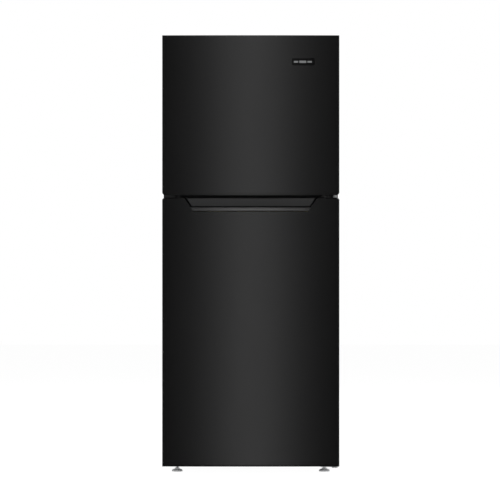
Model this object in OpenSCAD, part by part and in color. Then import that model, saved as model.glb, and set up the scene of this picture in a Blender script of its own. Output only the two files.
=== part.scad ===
// Top freezer refrigerator, free-standing, doors hinged on the right.
// Origin at the bottom centre on the floor, front faces -Y, +Z up, millimetres.

/* [Cabinet] */
// Width of the cabinet box
cab_w = 594; // [480:1:760]
// Depth of the cabinet box from its front face to its back panel
cab_d = 618; // [510:1:780]
// Height of the fridge door
fridge_door_h = 911; // [750:1:1150]
// Height of the freezer door
freezer_door_h = 541; // [440:1:680]
// Height of the doors' lower edge above the floor
floor_gap = 25; // [24:1:60]
// Thickness of the steel sheet of cabinet and doors
sheet_t = 1.2; // [0.8:0.1:2]
// Thickness of the insulated side walls
side_wall = 45; // [38:1:60]
// Thickness of the insulated top wall
top_wall = 55; // [44:1:80]
// Thickness of the insulated floor and back walls
back_wall = 60; // [50:1:80]

/* [Doors] */
// Thickness of each door
door_t = 60; // [52:1:80]
// Gap between the two doors
door_gap = 8; // [7:0.5:12]
// How far a door stands past the cabinet side
door_overhang = 3; // [1:0.5:6]
// Bulge of the door's face at its middle
door_crown = 5; // [3:0.5:9]
// Radius of the door corners next to the split
corner_r = 10; // [6:1:16]
// Thickness of the door gasket
gasket_t = 12; // [10:1:16]
// Depth of the door shelves behind the door
bin_depth = 108; // [70:1:125]
// Diameter of the hinge pins
pin_d = 10; // [8:0.5:12]

/* [Handle] */
// Width of the pocket handle at the top
pocket_w = 446; // [300:2:500]
// Height of the open part of the pocket
pocket_h = 31; // [26:1:44]
// Depth of the pocket into the door
pocket_depth = 34; // [28:1:42]
// Height of the rolled lip below the pocket
lip_h = 17; // [14:1:24]

/* [Inside] */
// Thickness of the plastic inner boxes
liner_t = 2.5; // [1.5:0.1:3.5]
// Height of the crisper drawer
crisper_h = 190; // [140:1:220]
// Space left behind the crisper drawer
crisper_gap = 18; // [8:1:60]
// Thickness of the glass shelves
glass_t = 4; // [3:0.5:6]
// Diameter of the evaporator fan
fan_d = 100; // [80:1:120]
// Diameter of the compressor shell
compressor_d = 150; // [110:1:160]
// Diameter of the rear rollers
roller_d = 30; // [24:1:31]
// Diameter of the levelling foot pads
foot_d = 36; // [28:1:46]

/* [Hidden] */
$fn = 48;
eps = 1;
run_clear = 0.08;
fit_clear = 0.3;
screw_d = 4.5;
wire_d = 5;
drain_d = 14;

// Levels, from the floor up
base_lift = 7;
cab_z0 = floor_gap + base_lift;
fr_z0 = floor_gap;
fr_z1 = fr_z0 + fridge_door_h;
fz_z0 = fr_z1 + door_gap;
fz_z1 = fz_z0 + freezer_door_h;
split_z = (fr_z1 + fz_z0) / 2;
top_drop = 15;
cab_z1 = fz_z1 - top_drop;
mullion_half = 29.5;
fr_in_z0 = cab_z0 + back_wall;
fr_in_z1 = split_z - mullion_half;
fz_in_z0 = split_z + mullion_half;
fz_in_z1 = cab_z1 - top_wall;

// Depths, from the door faces back
total_d = cab_d + gasket_t + door_t;
y_front = -total_d / 2;
y_door = y_front + door_t;
y_cab = y_door + gasket_t;
y_back = total_d / 2;
y_in = y_back - back_wall;

// Widths
half_w = cab_w / 2;
door_half = half_w + door_overhang;
in_half = half_w - side_wall;
flange_w = side_wall - 9;

// Machine bay at the lower rear
bay_d = 230;
bay_h = 248;
bay_y = y_back - bay_d;
bay_z1 = cab_z0 + bay_h;
hump_wall = 42;
hump_y = bay_y - hump_wall;
hump_z = bay_z1 + hump_wall;
pan_t = 2;

// Door parts
pin_from_side = 14;
pin_from_back = 20;
hinge_x = door_half - pin_from_side;
hinge_y = y_door - pin_from_back;
cap_t = 4;
crown_steps = 10;
cap_recess = 19;
cap_plug = 18;
lip_t = 10;
boss_d = 26;
door_liner_t = 3;
dyke_gap = 8;
dyke_w = 22;
dyke_t = 2.5;
dyke_d = 35;
gasket_w = 16;
gasket_in = 27;
gasket_split = 20;
pin_len = 14;
plate_t = 3.6;
plate_half = 10;
arm_x = half_w - 5;
leg_t = 3;
top_screws = [-50, -28, -6];
middle_screws = [-40, -24];
bottom_screws = [-40, -14];
y_top_screw = y_cab + 46;
bin_t = 2.5;
bin_half = in_half - dyke_gap - dyke_w - 2;
bin_y = y_door + bin_depth;
lug_w = 7;
lug_h = 8;

// Shelves and drawer
shelf_y0 = bin_y + 10;
ledge_w = 8;
ledge_h = 8;
glass_half = in_half - 4;
drawer_clear = 44;
drawer_half = in_half - drawer_clear;
drawer_z0 = fr_in_z0 + 6;
drawer_y0 = y_cab + 38;
drawer_y1 = hump_y - crisper_gap;
cover_z = drawer_z0 + crisper_h + 4;
fr_span = fr_in_z1 - cover_z;
shelf_z = [cover_z + fr_span * 0.26, cover_z + fr_span * 0.56];
fz_span = fz_in_z1 - fz_in_z0;
wire_z = fz_in_z0 + fz_span * 0.47;
fr_bins = [[cover_z + 18, 115], [cover_z + fr_span * 0.38, 90], [cover_z + fr_span * 0.7, 80]];
fz_bins = [[fz_in_z0 + 40, 95], [fz_in_z0 + fz_span * 0.56, 85]];
rail_x = 30;
rail_w = 8;
trim_h = 14;
trim_d = 9;

// Cold air parts behind the freezer
cover_t = 3;
evap_y = y_in - 68;
fan_z = fz_in_z1 - fan_d / 2 - 22;
fan_y = evap_y + 12;
coil_z0 = fz_in_z0 + 45;
coil_z1 = fan_z - fan_d / 2 - 25;

// Machine bay parts
comp_x = 60;
comp_y = bay_y + 100;
grommet_h = 12;
comp_z = cab_z0 + pan_t + grommet_h;
comp_plate_t = 3;
comp_top = comp_z + 128;
foot_inset = 45;
foot_x = half_w - foot_inset;
foot_y = y_cab + foot_inset;
stud_d = 10;
stud_z = cab_z0 - 14;
stud_top = cab_z0 + 18;
dryer_x = -half_w + 150;
dryer_y = bay_y + 130;
dryer_z = cab_z0 + 120;
pad_h = 8;
roller_x = half_w - 60;
roller_y = y_back - 45;
roller_w = 20;
axle_d = 6;
tube_d = 5;
drain_y = y_in + 24;
box_half = 130;
box_h = 45;
box_y0 = y_cab + 38;
box_d = 175;
box_z = fr_in_z1 - box_h;
dial_x = -62;
dial_d = 34;
switch_x = 100;
switch_z = fr_in_z1 - 20;
plunger_d = 8;
shaft_d = 8;
fan_shaft_d = 4;
dial_z = box_z + 23;
dial2_x = in_half - 80;
dial2_z = fz_in_z0 + 52;
lens_half = 100;
lens_d = 80;
lens_y = box_y0 + 75;
slot_half = 32;
slot_z = drawer_z0 + crisper_h - 34;
badge_w = 76;
badge_h = 24;

// A box from its low corner to its high corner
module block(a, b) {
    translate(a) cube(b - a);
}

// A box between +x and -x
module slab(x, y0, y1, z0, z1) {
    block([-x, y0, z0], [x, y1, z1]);
}

// A round bar between two points, along its own axis
module bar(a, b, d) {
    v = b - a;
    len = norm(v);
    translate(a)
        rotate([0, acos(v.z / len), atan2(v.y, v.x)])
        cylinder(d = d, h = len);
}

// A pipe through a list of points, with a ball at each bend
module pipe(points, d) {
    for (i = [1 : len(points) - 1]) bar(points[i - 1], points[i], d);
    if (len(points) > 2)
        for (i = [1 : len(points) - 2]) translate(points[i]) sphere(d = d + 0.8);
}

// Something at the left and at the right
module both() {
    children();
    mirror([1, 0, 0]) children();
}

// ---------- cabinet ----------

module cabinet_wrapper() {
    color("#1b1c1e") difference() {
        slab(half_w, y_cab, y_back, cab_z0, cab_z1);
        slab(half_w - sheet_t, y_cab + sheet_t, y_back + eps, cab_z0 - eps, cab_z1 - sheet_t);
        slab(half_w - flange_w, y_cab - eps, y_cab + 2 * sheet_t, cab_z0 - eps, cab_z1 - flange_w);
        for (x = top_screws) translate([hinge_x + x, y_top_screw, cab_z1 - 2 * sheet_t])
            cylinder(d = screw_d, h = 3 * sheet_t);
    }
}

module back_panel() {
    color("#2a2b2d")
        slab(half_w - sheet_t, y_back - sheet_t, y_back, bay_z1, cab_z1 - sheet_t);
}

module base_pan() {
    x = half_w - sheet_t;
    color("#9aa0a4") difference() {
        union() {
            slab(x, y_cab + sheet_t, bay_y + pan_t, cab_z0, cab_z0 + pan_t);
            slab(x, bay_y, bay_y + pan_t, cab_z0, bay_z1);
            slab(x, bay_y, y_back, bay_z1 - pan_t, bay_z1);
            slab(half_w - flange_w, y_cab, y_cab + pan_t, cab_z0, fr_in_z0 - liner_t);
        }
        translate([0, drain_y, bay_z1 - 2 * pan_t]) cylinder(d = drain_d + fit_clear, h = 3 * pan_t);
        both() translate([foot_x, foot_y, cab_z0 - eps]) cylinder(d = stud_d + 2, h = 2 * pan_t);
    }
}

module compressor_deck() {
    cheek = 2;
    cheek_x = roller_w / 2 + 1.5;
    color("#9aa0a4") {
        slab(half_w - sheet_t, bay_y + pan_t, y_back - 4, cab_z0, cab_z0 + pan_t);
        both() translate([roller_x, roller_y, roller_d / 2]) {
            for (x = [-cheek_x - cheek, cheek_x])
                block([x, -14, -6], [x + cheek, 14, cab_z0 + 0.5 - roller_d / 2]);
            translate([-cheek_x - cheek - 1.5, 0, 0]) rotate([0, 90, 0])
                cylinder(d = axle_d, h = 2 * (cheek_x + cheek + 1.5));
        }
    }
}

module condenser_coil() {
    x = half_w - sheet_t - tube_d / 2 - 1;
    y0 = y_cab + 90;
    step = (bay_y - 60 - y0) / 5;
    z0 = cab_z0 + 130;
    z1 = cab_z1 - 130;
    points = [for (i = [0 : 5]) for (k = [0, 1]) [x, y0 + i * step, (i + k) % 2 == 0 ? z0 : z1]];
    color("#b06a3c") both() pipe(points, tube_d);
}

// Recess for the condenser in each side of the foam
module condenser_recess() {
    both() block([half_w - sheet_t - tube_d - 3, y_cab + 80, cab_z0 + 118],
        [half_w, bay_y - 50, cab_z1 - 118]);
}

module drain_route(d) {
    z_bend = fz_in_z0 - 22;
    z_low = fr_in_z1 + 14;
    pipe([[0, y_in - 16, fz_in_z0], [0, y_in - 16, z_bend], [0, drain_y, z_low],
        [0, drain_y, bay_z1 - 18]], d);
}

module cabinet_foam() {
    x = half_w - sheet_t;
    color("#d9cfa6") difference() {
        slab(x, y_cab + 2 * sheet_t, y_back - sheet_t, cab_z0 + pan_t, cab_z1 - sheet_t);
        fridge_space(liner_t, y_cab);
        slab(in_half + liner_t, y_cab, y_in + liner_t, fz_in_z0 - liner_t, fz_in_z1 + liner_t);
        slab(half_w, bay_y, y_back, cab_z0, bay_z1);
        condenser_recess();
        drain_route(drain_d + 2 * fit_clear);
        both() translate([foot_x, foot_y, cab_z0]) cylinder(d = stud_d + 3, h = stud_top - cab_z0 + 2);
    }
}

// Space inside the fridge part, grown by g, from y0 back, with the step over the machine bay
module fridge_space(g, y0) {
    difference() {
        slab(in_half + g, y0, y_in + g, fr_in_z0 - g, fr_in_z1 + g);
        slab(in_half + g + eps, hump_y + g, y_in + g + eps, fr_in_z0 - g - eps, hump_z - g);
    }
}

module side_flange(z0, z1) {
    slab(half_w - flange_w, y_cab, y_cab + sheet_t, z0, z1);
}

module freezer_liner() {
    color("#f2f3f3") {
        difference() {
            union() {
                slab(in_half + liner_t, y_cab, y_in + liner_t, fz_in_z0 - liner_t, fz_in_z1 + liner_t);
                side_flange(fz_in_z0 - liner_t, cab_z1 - flange_w);
            }
            slab(in_half, y_cab - eps, y_in, fz_in_z0, fz_in_z1);
            translate([0, y_in - 16, fz_in_z0 - 2 * liner_t]) cylinder(d = drain_d, h = 3 * liner_t);
        }
        both() block([in_half - ledge_w, shelf_y0, wire_z - wire_d - ledge_h],
            [in_half + eps, evap_y - 4, wire_z - wire_d]);
    }
}

module fridge_liner() {
    color("#f2f3f3") {
        difference() {
            union() {
                fridge_space(liner_t, y_cab);
                side_flange(fr_in_z0 - liner_t, fr_in_z1 + liner_t);
            }
            fridge_space(0, y_cab - eps);
        }
        both() for (z = shelf_z)
            block([in_half - ledge_w, shelf_y0, z - ledge_h], [in_half + eps, y_in + eps, z]);
        both() block([in_half - ledge_w, drawer_y0 + 20, cover_z - ledge_h], [in_half + eps, hump_y, cover_z]);
        both() block([drawer_half - rail_x, drawer_y0 + 10, fr_in_z0 - eps],
            [drawer_half - rail_x + rail_w, hump_y, drawer_z0]);
    }
}

module mullion_rail() {
    color("#c9cbcc")
        slab(half_w - flange_w, y_cab, y_cab + 1.5, fr_in_z1 + liner_t, fz_in_z0 - liner_t);
}

// Hinge plate with a round end at the pin
module hinge_plate(z, y_end) {
    translate([hinge_x, hinge_y, z]) cylinder(r = plate_half, h = plate_t);
    block([hinge_x - plate_half, hinge_y, z], [arm_x, y_end, z + plate_t]);
}

module top_hinge_bracket() {
    color("#3a3c3e") difference() {
        union() {
            hinge_plate(cab_z1, y_cab + 30);
            block([hinge_x - 60, y_cab + 12, cab_z1], [arm_x, y_cab + 58, cab_z1 + plate_t]);
            translate([hinge_x, hinge_y, cab_z1 - pin_len]) cylinder(d = pin_d, h = pin_len + 1);
        }
        for (x = top_screws) translate([hinge_x + x, y_top_screw, cab_z1 - eps])
            cylinder(d = screw_d, h = 2 * plate_t);
    }
}

module top_hinge_cover() {
    color("#17181a") difference() {
        block([hinge_x - 66, y_cab + 2, cab_z1], [half_w - 1, y_cab + 66, fz_z1 - 1]);
        block([hinge_x - 63, y_cab - eps, cab_z1 - eps], [half_w - 4, y_cab + 63, fz_z1 - 3.5]);
    }
}

module middle_hinge_bracket() {
    z = split_z - plate_t / 2;
    color("#c4c6c8") difference() {
        union() {
            hinge_plate(z, y_cab);
            block([hinge_x - 48, y_cab - leg_t, split_z - 10], [arm_x, y_cab, split_z + 10]);
            translate([hinge_x, hinge_y, fr_z1 - pin_len]) cylinder(d = pin_d, h = 2 * pin_len + door_gap);
        }
        for (x = middle_screws) translate([hinge_x + x, y_cab + eps, split_z])
            rotate([90, 0, 0]) cylinder(d = screw_d, h = leg_t + 2 * eps);
    }
}

module bottom_hinge_bracket() {
    z = fr_z0 - 3 - plate_t;
    color("#b9bcbf") difference() {
        union() {
            hinge_plate(z, y_cab);
            block([hinge_x - 48, y_cab - leg_t, z], [arm_x, y_cab, cab_z0 + 16]);
            translate([hinge_x, hinge_y, z]) cylinder(d = pin_d, h = 3 + plate_t + pin_len);
        }
        for (x = bottom_screws) translate([hinge_x + x, y_cab + eps, cab_z0 + 8])
            rotate([90, 0, 0]) cylinder(d = screw_d, h = leg_t + 2 * eps);
    }
}

// Cross-head screw, head on the +Z side, shank below
module screw(grip) {
    difference() {
        cylinder(d = 1.9 * screw_d, h = 2.6);
        translate([0, 0, 2.6]) for (a = [0, 90]) rotate([0, 0, a]) cube([screw_d, 1, 2.4], center = true);
    }
    translate([0, 0, -grip]) cylinder(d = screw_d, h = grip + 0.5);
}

module hinge_screws() {
    color("#b9bcbf") {
        for (x = top_screws) translate([hinge_x + x, y_top_screw, cab_z1 + plate_t])
            screw(plate_t + sheet_t);
        for (x = middle_screws) translate([hinge_x + x, y_cab - leg_t, split_z])
            rotate([90, 0, 0]) screw(leg_t);
        for (x = bottom_screws) translate([hinge_x + x, y_cab - leg_t, cab_z0 + 8])
            rotate([90, 0, 0]) screw(leg_t);
    }
}

// Blanking buttons over the unused hinge holes on the left
module hinge_hole_plugs() {
    color("#d5d7d8") {
        for (x = middle_screws) translate([-hinge_x - x, y_cab, split_z])
            rotate([90, 0, 0]) cylinder(d = 9, h = 1.6);
        for (x = top_screws) translate([-hinge_x - x, y_top_screw, cab_z1]) cylinder(d = 9, h = 1.6);
    }
}

// ---------- base ----------

module foot_brackets() {
    color("#8d9296") both() translate([foot_x, foot_y, 0]) difference() {
        translate([0, 0, stud_z]) cylinder(d = 26, h = cab_z0 - stud_z);
        translate([0, 0, stud_z - eps]) cylinder(d = stud_d + 2 * run_clear, h = cab_z0);
    }
}

module foot() {
    cylinder(d = foot_d, h = pad_h * 0.6);
    translate([0, 0, pad_h * 0.6]) cylinder(d1 = foot_d, d2 = foot_d * 0.7, h = pad_h * 0.4);
    cylinder(d = stud_d, h = stud_top);
    translate([0, 0, pad_h - eps]) cylinder(d = 17, h = 5, $fn = 6);
}

module left_foot() {
    color("#c4c7c9") translate([-foot_x, foot_y, 0]) foot();
}

module right_foot() {
    color("#c4c7c9") translate([foot_x, foot_y, 0]) foot();
}

module roller() {
    rotate([0, 90, 0]) difference() {
        union() {
            translate([0, 0, -roller_w / 2]) cylinder(d = roller_d - 3, h = roller_w);
            translate([0, 0, -roller_w / 2 + 2]) cylinder(d = roller_d, h = roller_w - 4);
        }
        translate([0, 0, -roller_w]) cylinder(d = axle_d + 2 * run_clear, h = 2 * roller_w);
    }
}

module left_roller() {
    color("#3b3b3d") translate([-roller_x, roller_y, roller_d / 2]) roller();
}

module right_roller() {
    color("#3b3b3d") translate([roller_x, roller_y, roller_d / 2]) roller();
}

// ---------- machine bay ----------

module compressor() {
    r = compressor_d / 2;
    h = comp_top - comp_z - comp_plate_t;
    color("#141516") translate([comp_x, comp_y, comp_z]) {
        difference() {
            block([-86, -52, 0], [86, 52, comp_plate_t]);
            for (sx = [-1, 1]) for (sy = [-1, 1]) translate([72 * sx, 40 * sy, -eps])
                cylinder(d = 10, h = comp_plate_t + 2 * eps);
        }
        translate([0, 0, comp_plate_t - 0.5]) rotate_extrude() polygon(concat(
            [[0, 0], [r * 0.62, 0]],
            [for (a = [-90 : 15 : 0]) [r * 0.62 + r * 0.38 * cos(a), r * 0.38 * (1 + sin(a))]],
            [for (a = [0 : 10 : 90]) [r * cos(a), h - r * 0.5 + r * 0.5 * sin(a)]]));
        translate([0, 0, h * 0.48]) cylinder(r = r + 2.5, h = 5);
    }
}

module compressor_grommets() {
    color("#232324") for (sx = [-1, 1]) for (sy = [-1, 1])
        translate([comp_x + 72 * sx, comp_y + 40 * sy, cab_z0 + pan_t]) {
            cylinder(d = 20, h = grommet_h);
            cylinder(d = 9.4, h = grommet_h + comp_plate_t + 3);
            translate([0, 0, grommet_h + comp_plate_t]) cylinder(d = 15, h = 3);
        }
}

module terminal_cover() {
    y = comp_y + 6;
    color("#e4e2da") difference() {
        block([comp_x - compressor_d / 2 - 34, y - 26, comp_z + 34], [comp_x - 20, y + 26, comp_z + 92]);
        translate([comp_x, comp_y, comp_z]) cylinder(r = compressor_d / 2 + 4, h = 130);
    }
}

module filter_dryer() {
    color("#b87440") translate([dryer_x, dryer_y, dryer_z]) rotate([90, 0, 0]) {
        cylinder(d = 22, h = 70);
        translate([0, 0, -10]) cylinder(d1 = 8, d2 = 22, h = 10);
        translate([0, 0, 70]) cylinder(d1 = 22, d2 = 8, h = 10);
    }
}

module refrigerant_pipes() {
    z_top = bay_z1 - pan_t - 6;
    side = comp_x + compressor_d / 2;
    color("#b87440") {
        pipe([[side + 3, comp_y, comp_z + 90], [side + 26, comp_y, comp_z + 90], [side + 26, comp_y, z_top],
            [side + 60, comp_y + 60, z_top], [half_w - 30, comp_y + 60, z_top]], 8);
        pipe([[side + 3, comp_y + 22, comp_z + 30], [side + 40, comp_y + 22, comp_z + 30],
            [side + 40, comp_y + 80, comp_z + 30], [half_w - 20, comp_y + 80, comp_z + 30],
            [half_w - 20, comp_y + 80, z_top - 30]], tube_d);
        pipe([[dryer_x, dryer_y + 10, dryer_z], [dryer_x, dryer_y + 22, dryer_z],
            [dryer_x, dryer_y + 22, z_top]], tube_d);
        pipe([[dryer_x, dryer_y - 80, dryer_z], [dryer_x, dryer_y - 92, dryer_z],
            [dryer_x, dryer_y - 92, z_top], [dryer_x + 60, dryer_y - 92, z_top]], 3);
        pipe([[comp_x - 30, comp_y + 72, comp_z + 30], [comp_x - 30, comp_y + 92, comp_z + 30],
            [comp_x - 30, comp_y + 92, comp_z + 62]], 6);
    }
}

module drain_pan() {
    a = [comp_x - 110, comp_y - 64, comp_top + 6];
    b = [comp_x + 88, comp_y + 78, comp_top + 40];
    color("#26282a") difference() {
        block(a, b);
        block(a + [2.5, 2.5, 2.5], b + [-2.5, -2.5, eps]);
    }
}

module drain_tube() {
    color("#e9e9e6") difference() {
        drain_route(drain_d);
        pipe([[0, drain_y, fr_in_z1 - 30], [0, drain_y, bay_z1 - 20]], drain_d - 4);
    }
}

module cord_gland() {
    color("#1c1c1d") translate([-half_w + 70, y_back - 40, bay_z1 - pan_t]) {
        translate([0, 0, -12]) cylinder(d = 18, h = 12);
        translate([0, 0, -4]) cylinder(d = 26, h = 4);
    }
}

// ---------- cold air parts ----------

module evaporator() {
    y1 = evap_y + 24;
    y2 = y_in - 14;
    x = in_half - 42;
    step = (coil_z1 - coil_z0) / 5;
    up = [for (i = [0 : 5]) for (k = [1, -1]) [(i % 2 == 0 ? k : -k) * x, y1, coil_z0 + i * step]];
    down = [for (i = [5 : -1 : 0]) for (k = [1, -1]) [(i % 2 == 0 ? -k : k) * x, y2, coil_z0 + i * step]];
    color("#c3c8cb") {
        pipe(concat(up, down), 8);
        for (i = [-12 : 12]) translate([i * (x - 18) / 12 - 0.5, y1 - 9, coil_z0 - 12])
            cube([1, y2 - y1 + 18, coil_z1 - coil_z0 + 24]);
    }
}

module evaporator_cover() {
    x = in_half - 3;
    y0 = evap_y - cover_t;
    z0 = fz_in_z0 + 14;
    z1 = fz_in_z1 - 3;
    color("#f2f3f3") difference() {
        slab(x, y0, y_in - 1, z0, z1);
        slab(x - cover_t, evap_y, y_in, z0 - eps, z1 - cover_t);
        intersection() {
            translate([0, evap_y + eps, fan_z]) rotate([90, 0, 0]) cylinder(d = fan_d, h = cover_t + 2 * eps);
            for (i = [-4 : 4]) translate([i * 11 - 3.5, y0 - eps, fan_z - fan_d])
                cube([7, cover_t + 2 * eps, 2 * fan_d]);
        }
        translate([dial2_x, evap_y + eps, dial2_z]) rotate([90, 0, 0])
            cylinder(d = shaft_d + 2 * run_clear, h = cover_t + 2 * eps);
    }
}

module fan_motor() {
    y = fan_y + 22;
    color("#5b5e61") translate([0, 0, fan_z]) {
        translate([0, y, 0]) rotate([-90, 0, 0]) cylinder(d = 56, h = y_in - 6 - y);
        block([-42, y_in - 6.5, -12], [42, y_in - 4, 12]);
        block([-42, y_in - 6.5, -12], [-36, y_in, 12]);
        block([36, y_in - 6.5, -12], [42, y_in, 12]);
        translate([0, fan_y + 2, 0]) rotate([-90, 0, 0]) cylinder(d = fan_shaft_d, h = y - fan_y);
    }
}

module fan_blade() {
    hub_h = 16;
    r = fan_d / 2 - 5;
    color("#dfe1e2") translate([0, fan_y, fan_z]) difference() {
        union() {
            rotate([-90, 0, 0]) cylinder(d = 26, h = hub_h);
            intersection() {
                rotate([-90, 0, 0]) cylinder(r = r, h = hub_h);
                for (i = [0 : 4]) rotate([0, 72 * i, 0]) translate([10, hub_h / 2, 0]) rotate([32, 0, 0])
                    translate([0, -0.9, -13]) cube([r, 1.8, 26]);
            }
        }
        translate([0, 1.5, 0]) rotate([-90, 0, 0]) cylinder(d = fan_shaft_d + 2 * run_clear, h = hub_h);
    }
}

module knob(d, h, depth) {
    rotate([90, 0, 0]) {
        cylinder(d = d, h = 3);
        cylinder(d = d * 0.82, h = h);
        translate([0, 0, h / 2 + 1]) cube([d * 0.22, d * 0.94, h - 2], center = true);
        translate([0, 0, -depth]) cylinder(d = shaft_d, h = depth + 1);
    }
}

module freezer_dial() {
    color("#e6e7e8") translate([dial2_x, evap_y - cover_t - fit_clear, dial2_z]) knob(dial_d, 12, 9);
}

module freezer_shelf() {
    y0 = shelf_y0 + wire_d / 2;
    y1 = evap_y - 10;
    x = in_half - wire_d / 2 - 1;
    count = 16;
    color("#eceeee") {
        for (y = [y0, (y0 + y1) / 2, y1]) translate([-x, y, wire_z - wire_d / 2]) rotate([0, 90, 0])
            cylinder(d = wire_d, h = 2 * x);
        for (i = [0 : count]) translate([(2 * i / count - 1) * (x - 4), y0 - 2, wire_z - 0.4])
            rotate([-90, 0, 0]) cylinder(d = 3, h = y1 - y0 + 4);
    }
}

// ---------- inside the fridge part ----------

module control_box() {
    y1 = box_y0 + box_d;
    t = liner_t;
    color("#f2f3f3") difference() {
        slab(box_half, box_y0, y1, box_z, fr_in_z1);
        slab(box_half - t, box_y0 + t, y1 - t, box_z + t, fr_in_z1 + eps);
        slab(lens_half - 5, lens_y + 5, lens_y + lens_d - 5, box_z - eps, box_z + 2 * t);
        translate([dial_x, box_y0 - eps, dial_z]) rotate([-90, 0, 0])
            cylinder(d = shaft_d + 2 * run_clear, h = t + 2 * eps);
        translate([switch_x, box_y0 - eps, switch_z]) rotate([-90, 0, 0]) cylinder(d = 16.6, h = t + 2 * eps);
    }
}

module temperature_dial() {
    color("#e6e7e8") translate([dial_x, box_y0 - fit_clear, dial_z]) knob(dial_d, 10.5, 8);
}

module lamp_bulb() {
    color("#f7efcf") translate([0, lens_y + lens_d / 2, box_z + 22]) rotate([0, 90, 0]) {
        translate([0, 0, 12]) cylinder(d = 15, h = 36);
        sphere(d = 26);
        translate([0, 0, -2]) cylinder(d1 = 25, d2 = 15, h = 15);
        translate([0, 0, 40]) cylinder(d = 26, h = 22);
        translate([-13, -13, 50]) cube([35, 26, 6]);
    }
}

module lamp_lens() {
    drop = 9;
    color("#f4f6f2") difference() {
        slab(lens_half, lens_y, lens_y + lens_d, box_z - drop, box_z);
        slab(lens_half - 2, lens_y + 2, lens_y + lens_d - 2, box_z - drop + 2, box_z + eps);
    }
}

module switch_housing() {
    color("#e6e7e8") translate([switch_x, box_y0, switch_z]) rotate([-90, 0, 0]) difference() {
        union() {
            translate([0, 0, -2]) cylinder(d = 20, h = 2);
            cylinder(d = 16, h = 24);
        }
        translate([0, 0, -3]) cylinder(d = plunger_d + 2 * run_clear, h = 30);
    }
}

module switch_plunger() {
    tip = y_door + dyke_d + 0.5;
    color("#f2f3f3") translate([switch_x, tip, switch_z]) rotate([-90, 0, 0]) {
        cylinder(d1 = plunger_d - 2, d2 = plunger_d, h = 1.5);
        translate([0, 0, 1.5]) cylinder(d = plunger_d, h = box_y0 + 20 - tip);
    }
}

module shelf_glass() {
    color("#bfe0dc") for (z = shelf_z)
        slab(glass_half, shelf_y0 + trim_d, y_in - trim_d - 1, z, z + glass_t);
}

module shelf_trims() {
    x = in_half - ledge_w - 1;
    color("#e9ebeb") for (z = shelf_z) {
        slab(x, shelf_y0, shelf_y0 + trim_d, z - 4, z + trim_h - 4);
        slab(x, y_in - trim_d - 1, y_in - 1, z - 4, z + trim_h);
    }
}

module crisper_cover() {
    color("#bfe0dc") slab(glass_half, drawer_y0, hump_y - 1, cover_z, cover_z + glass_t);
}

module crisper_drawer() {
    z1 = drawer_z0 + crisper_h;
    color("#dfe7ea") difference() {
        union() {
            slab(drawer_half, drawer_y0, drawer_y1, drawer_z0, z1);
            slab(drawer_half * 0.6, drawer_y0 - 9, drawer_y0 + 1, z1 - 16, z1 - 2);
        }
        slab(drawer_half - bin_t, drawer_y0 + 4, drawer_y1 - bin_t, drawer_z0 + bin_t, z1 + eps);
        slab(drawer_half * 0.6 - 3, drawer_y0 - 6, drawer_y0, z1 - 16 - eps, z1 - 5);
        slab(slot_half, drawer_y0 - eps, drawer_y0 + 5, slot_z - 4, slot_z + 4);
    }
}

module humidity_slider() {
    color("#6f8f9c") translate([-slot_half + 7, drawer_y0, slot_z]) {
        block([-5, 0, -3.7], [5, 4, 3.7]);
        block([-12, -3, -8], [12, 0, 8]);
        block([-2, -7, -7], [2, -2, 7]);
        block([-6, 4, -7], [6, 6, 7]);
    }
}

// ---------- doors ----------

// Plan of a door, g inside its outer face
module door_plan(g) {
    x = door_half - g;
    face = [for (i = [-crown_steps : crown_steps])
        [x * i / crown_steps, y_front + g + door_crown * pow(x * i / crown_steps / door_half, 2)]];
    polygon(concat(face, [[x, y_door], [-x, y_door]]));
}

// Front outline of a door, with corner radii low and high
module door_mask(g, z0, z1, low, high) {
    x = door_half - g;
    arc_low = [for (a = [-90 : 15 : 0]) [x - low + low * cos(a), z0 + low + low * sin(a)]];
    arc_high = [for (a = [0 : 15 : 90]) [x - high + high * cos(a), z1 - high + high * sin(a)]];
    right = concat(arc_low, arc_high);
    left = [for (i = [len(right) - 1 : -1 : 0]) [-right[i].x, right[i].y]];
    translate([0, y_door + 60, 0]) rotate([90, 0, 0])
        linear_extrude(height = door_t + 80) polygon(concat(right, left));
}

// Solid door body between two levels, g inside the outer face
module door_solid(g, z0, z1) {
    translate([0, 0, z0]) linear_extrude(height = z1 - z0) door_plan(g);
}

module door_shell(z0, z1) {
    difference() {
        door_solid(0, z0, z1);
        door_solid(sheet_t, z0 - eps, z1 + eps);
        slab(door_half - sheet_t, y_door - sheet_t, y_door + eps, z0 - eps, z1 + eps);
    }
}

module hinge_boss(z0, z1) {
    translate([hinge_x - 3, hinge_y, z0]) cylinder(d = boss_d, h = z1 - z0);
}

module hinge_bore(z0, z1) {
    translate([hinge_x, hinge_y, z0]) cylinder(d = pin_d + 2 * run_clear, h = z1 - z0);
}

// Raised ring on the inside of a door, shrunk by g on every face
module dyke(z0, z1, g) {
    xo = in_half - dyke_gap - g;
    xi = in_half - dyke_gap - dyke_w + g;
    difference() {
        slab(xo, y_door - door_liner_t - g, y_door + dyke_d - g, z0 + dyke_gap + g, z1 - dyke_gap - g);
        slab(xi, y_door - 20, y_door + dyke_d + eps, z0 + dyke_gap + dyke_w - g, z1 - dyke_gap - dyke_w + g);
    }
}

module bin_lugs(bins) {
    x = in_half - dyke_gap - dyke_w;
    both() for (b = bins) block([x - lug_w, y_door - eps, b[0] - lug_h], [x + eps, y_door + dyke_d - 6, b[0]]);
}

module bins_of(bins) {
    for (b = bins) difference() {
        slab(bin_half, y_door, bin_y, b[0], b[0] + b[1]);
        slab(bin_half - bin_t, y_door + bin_t, bin_y - bin_t, b[0] + bin_t, b[0] + b[1] + eps);
    }
}

module gasket(z0, z1) {
    x = half_w - gasket_in + gasket_w / 2;
    w = gasket_w;
    difference() {
        slab(x, y_door, y_cab, z0, z1);
        slab(x - w, y_door - eps, y_cab + eps, z0 + w, z1 - w);
    }
}

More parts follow.
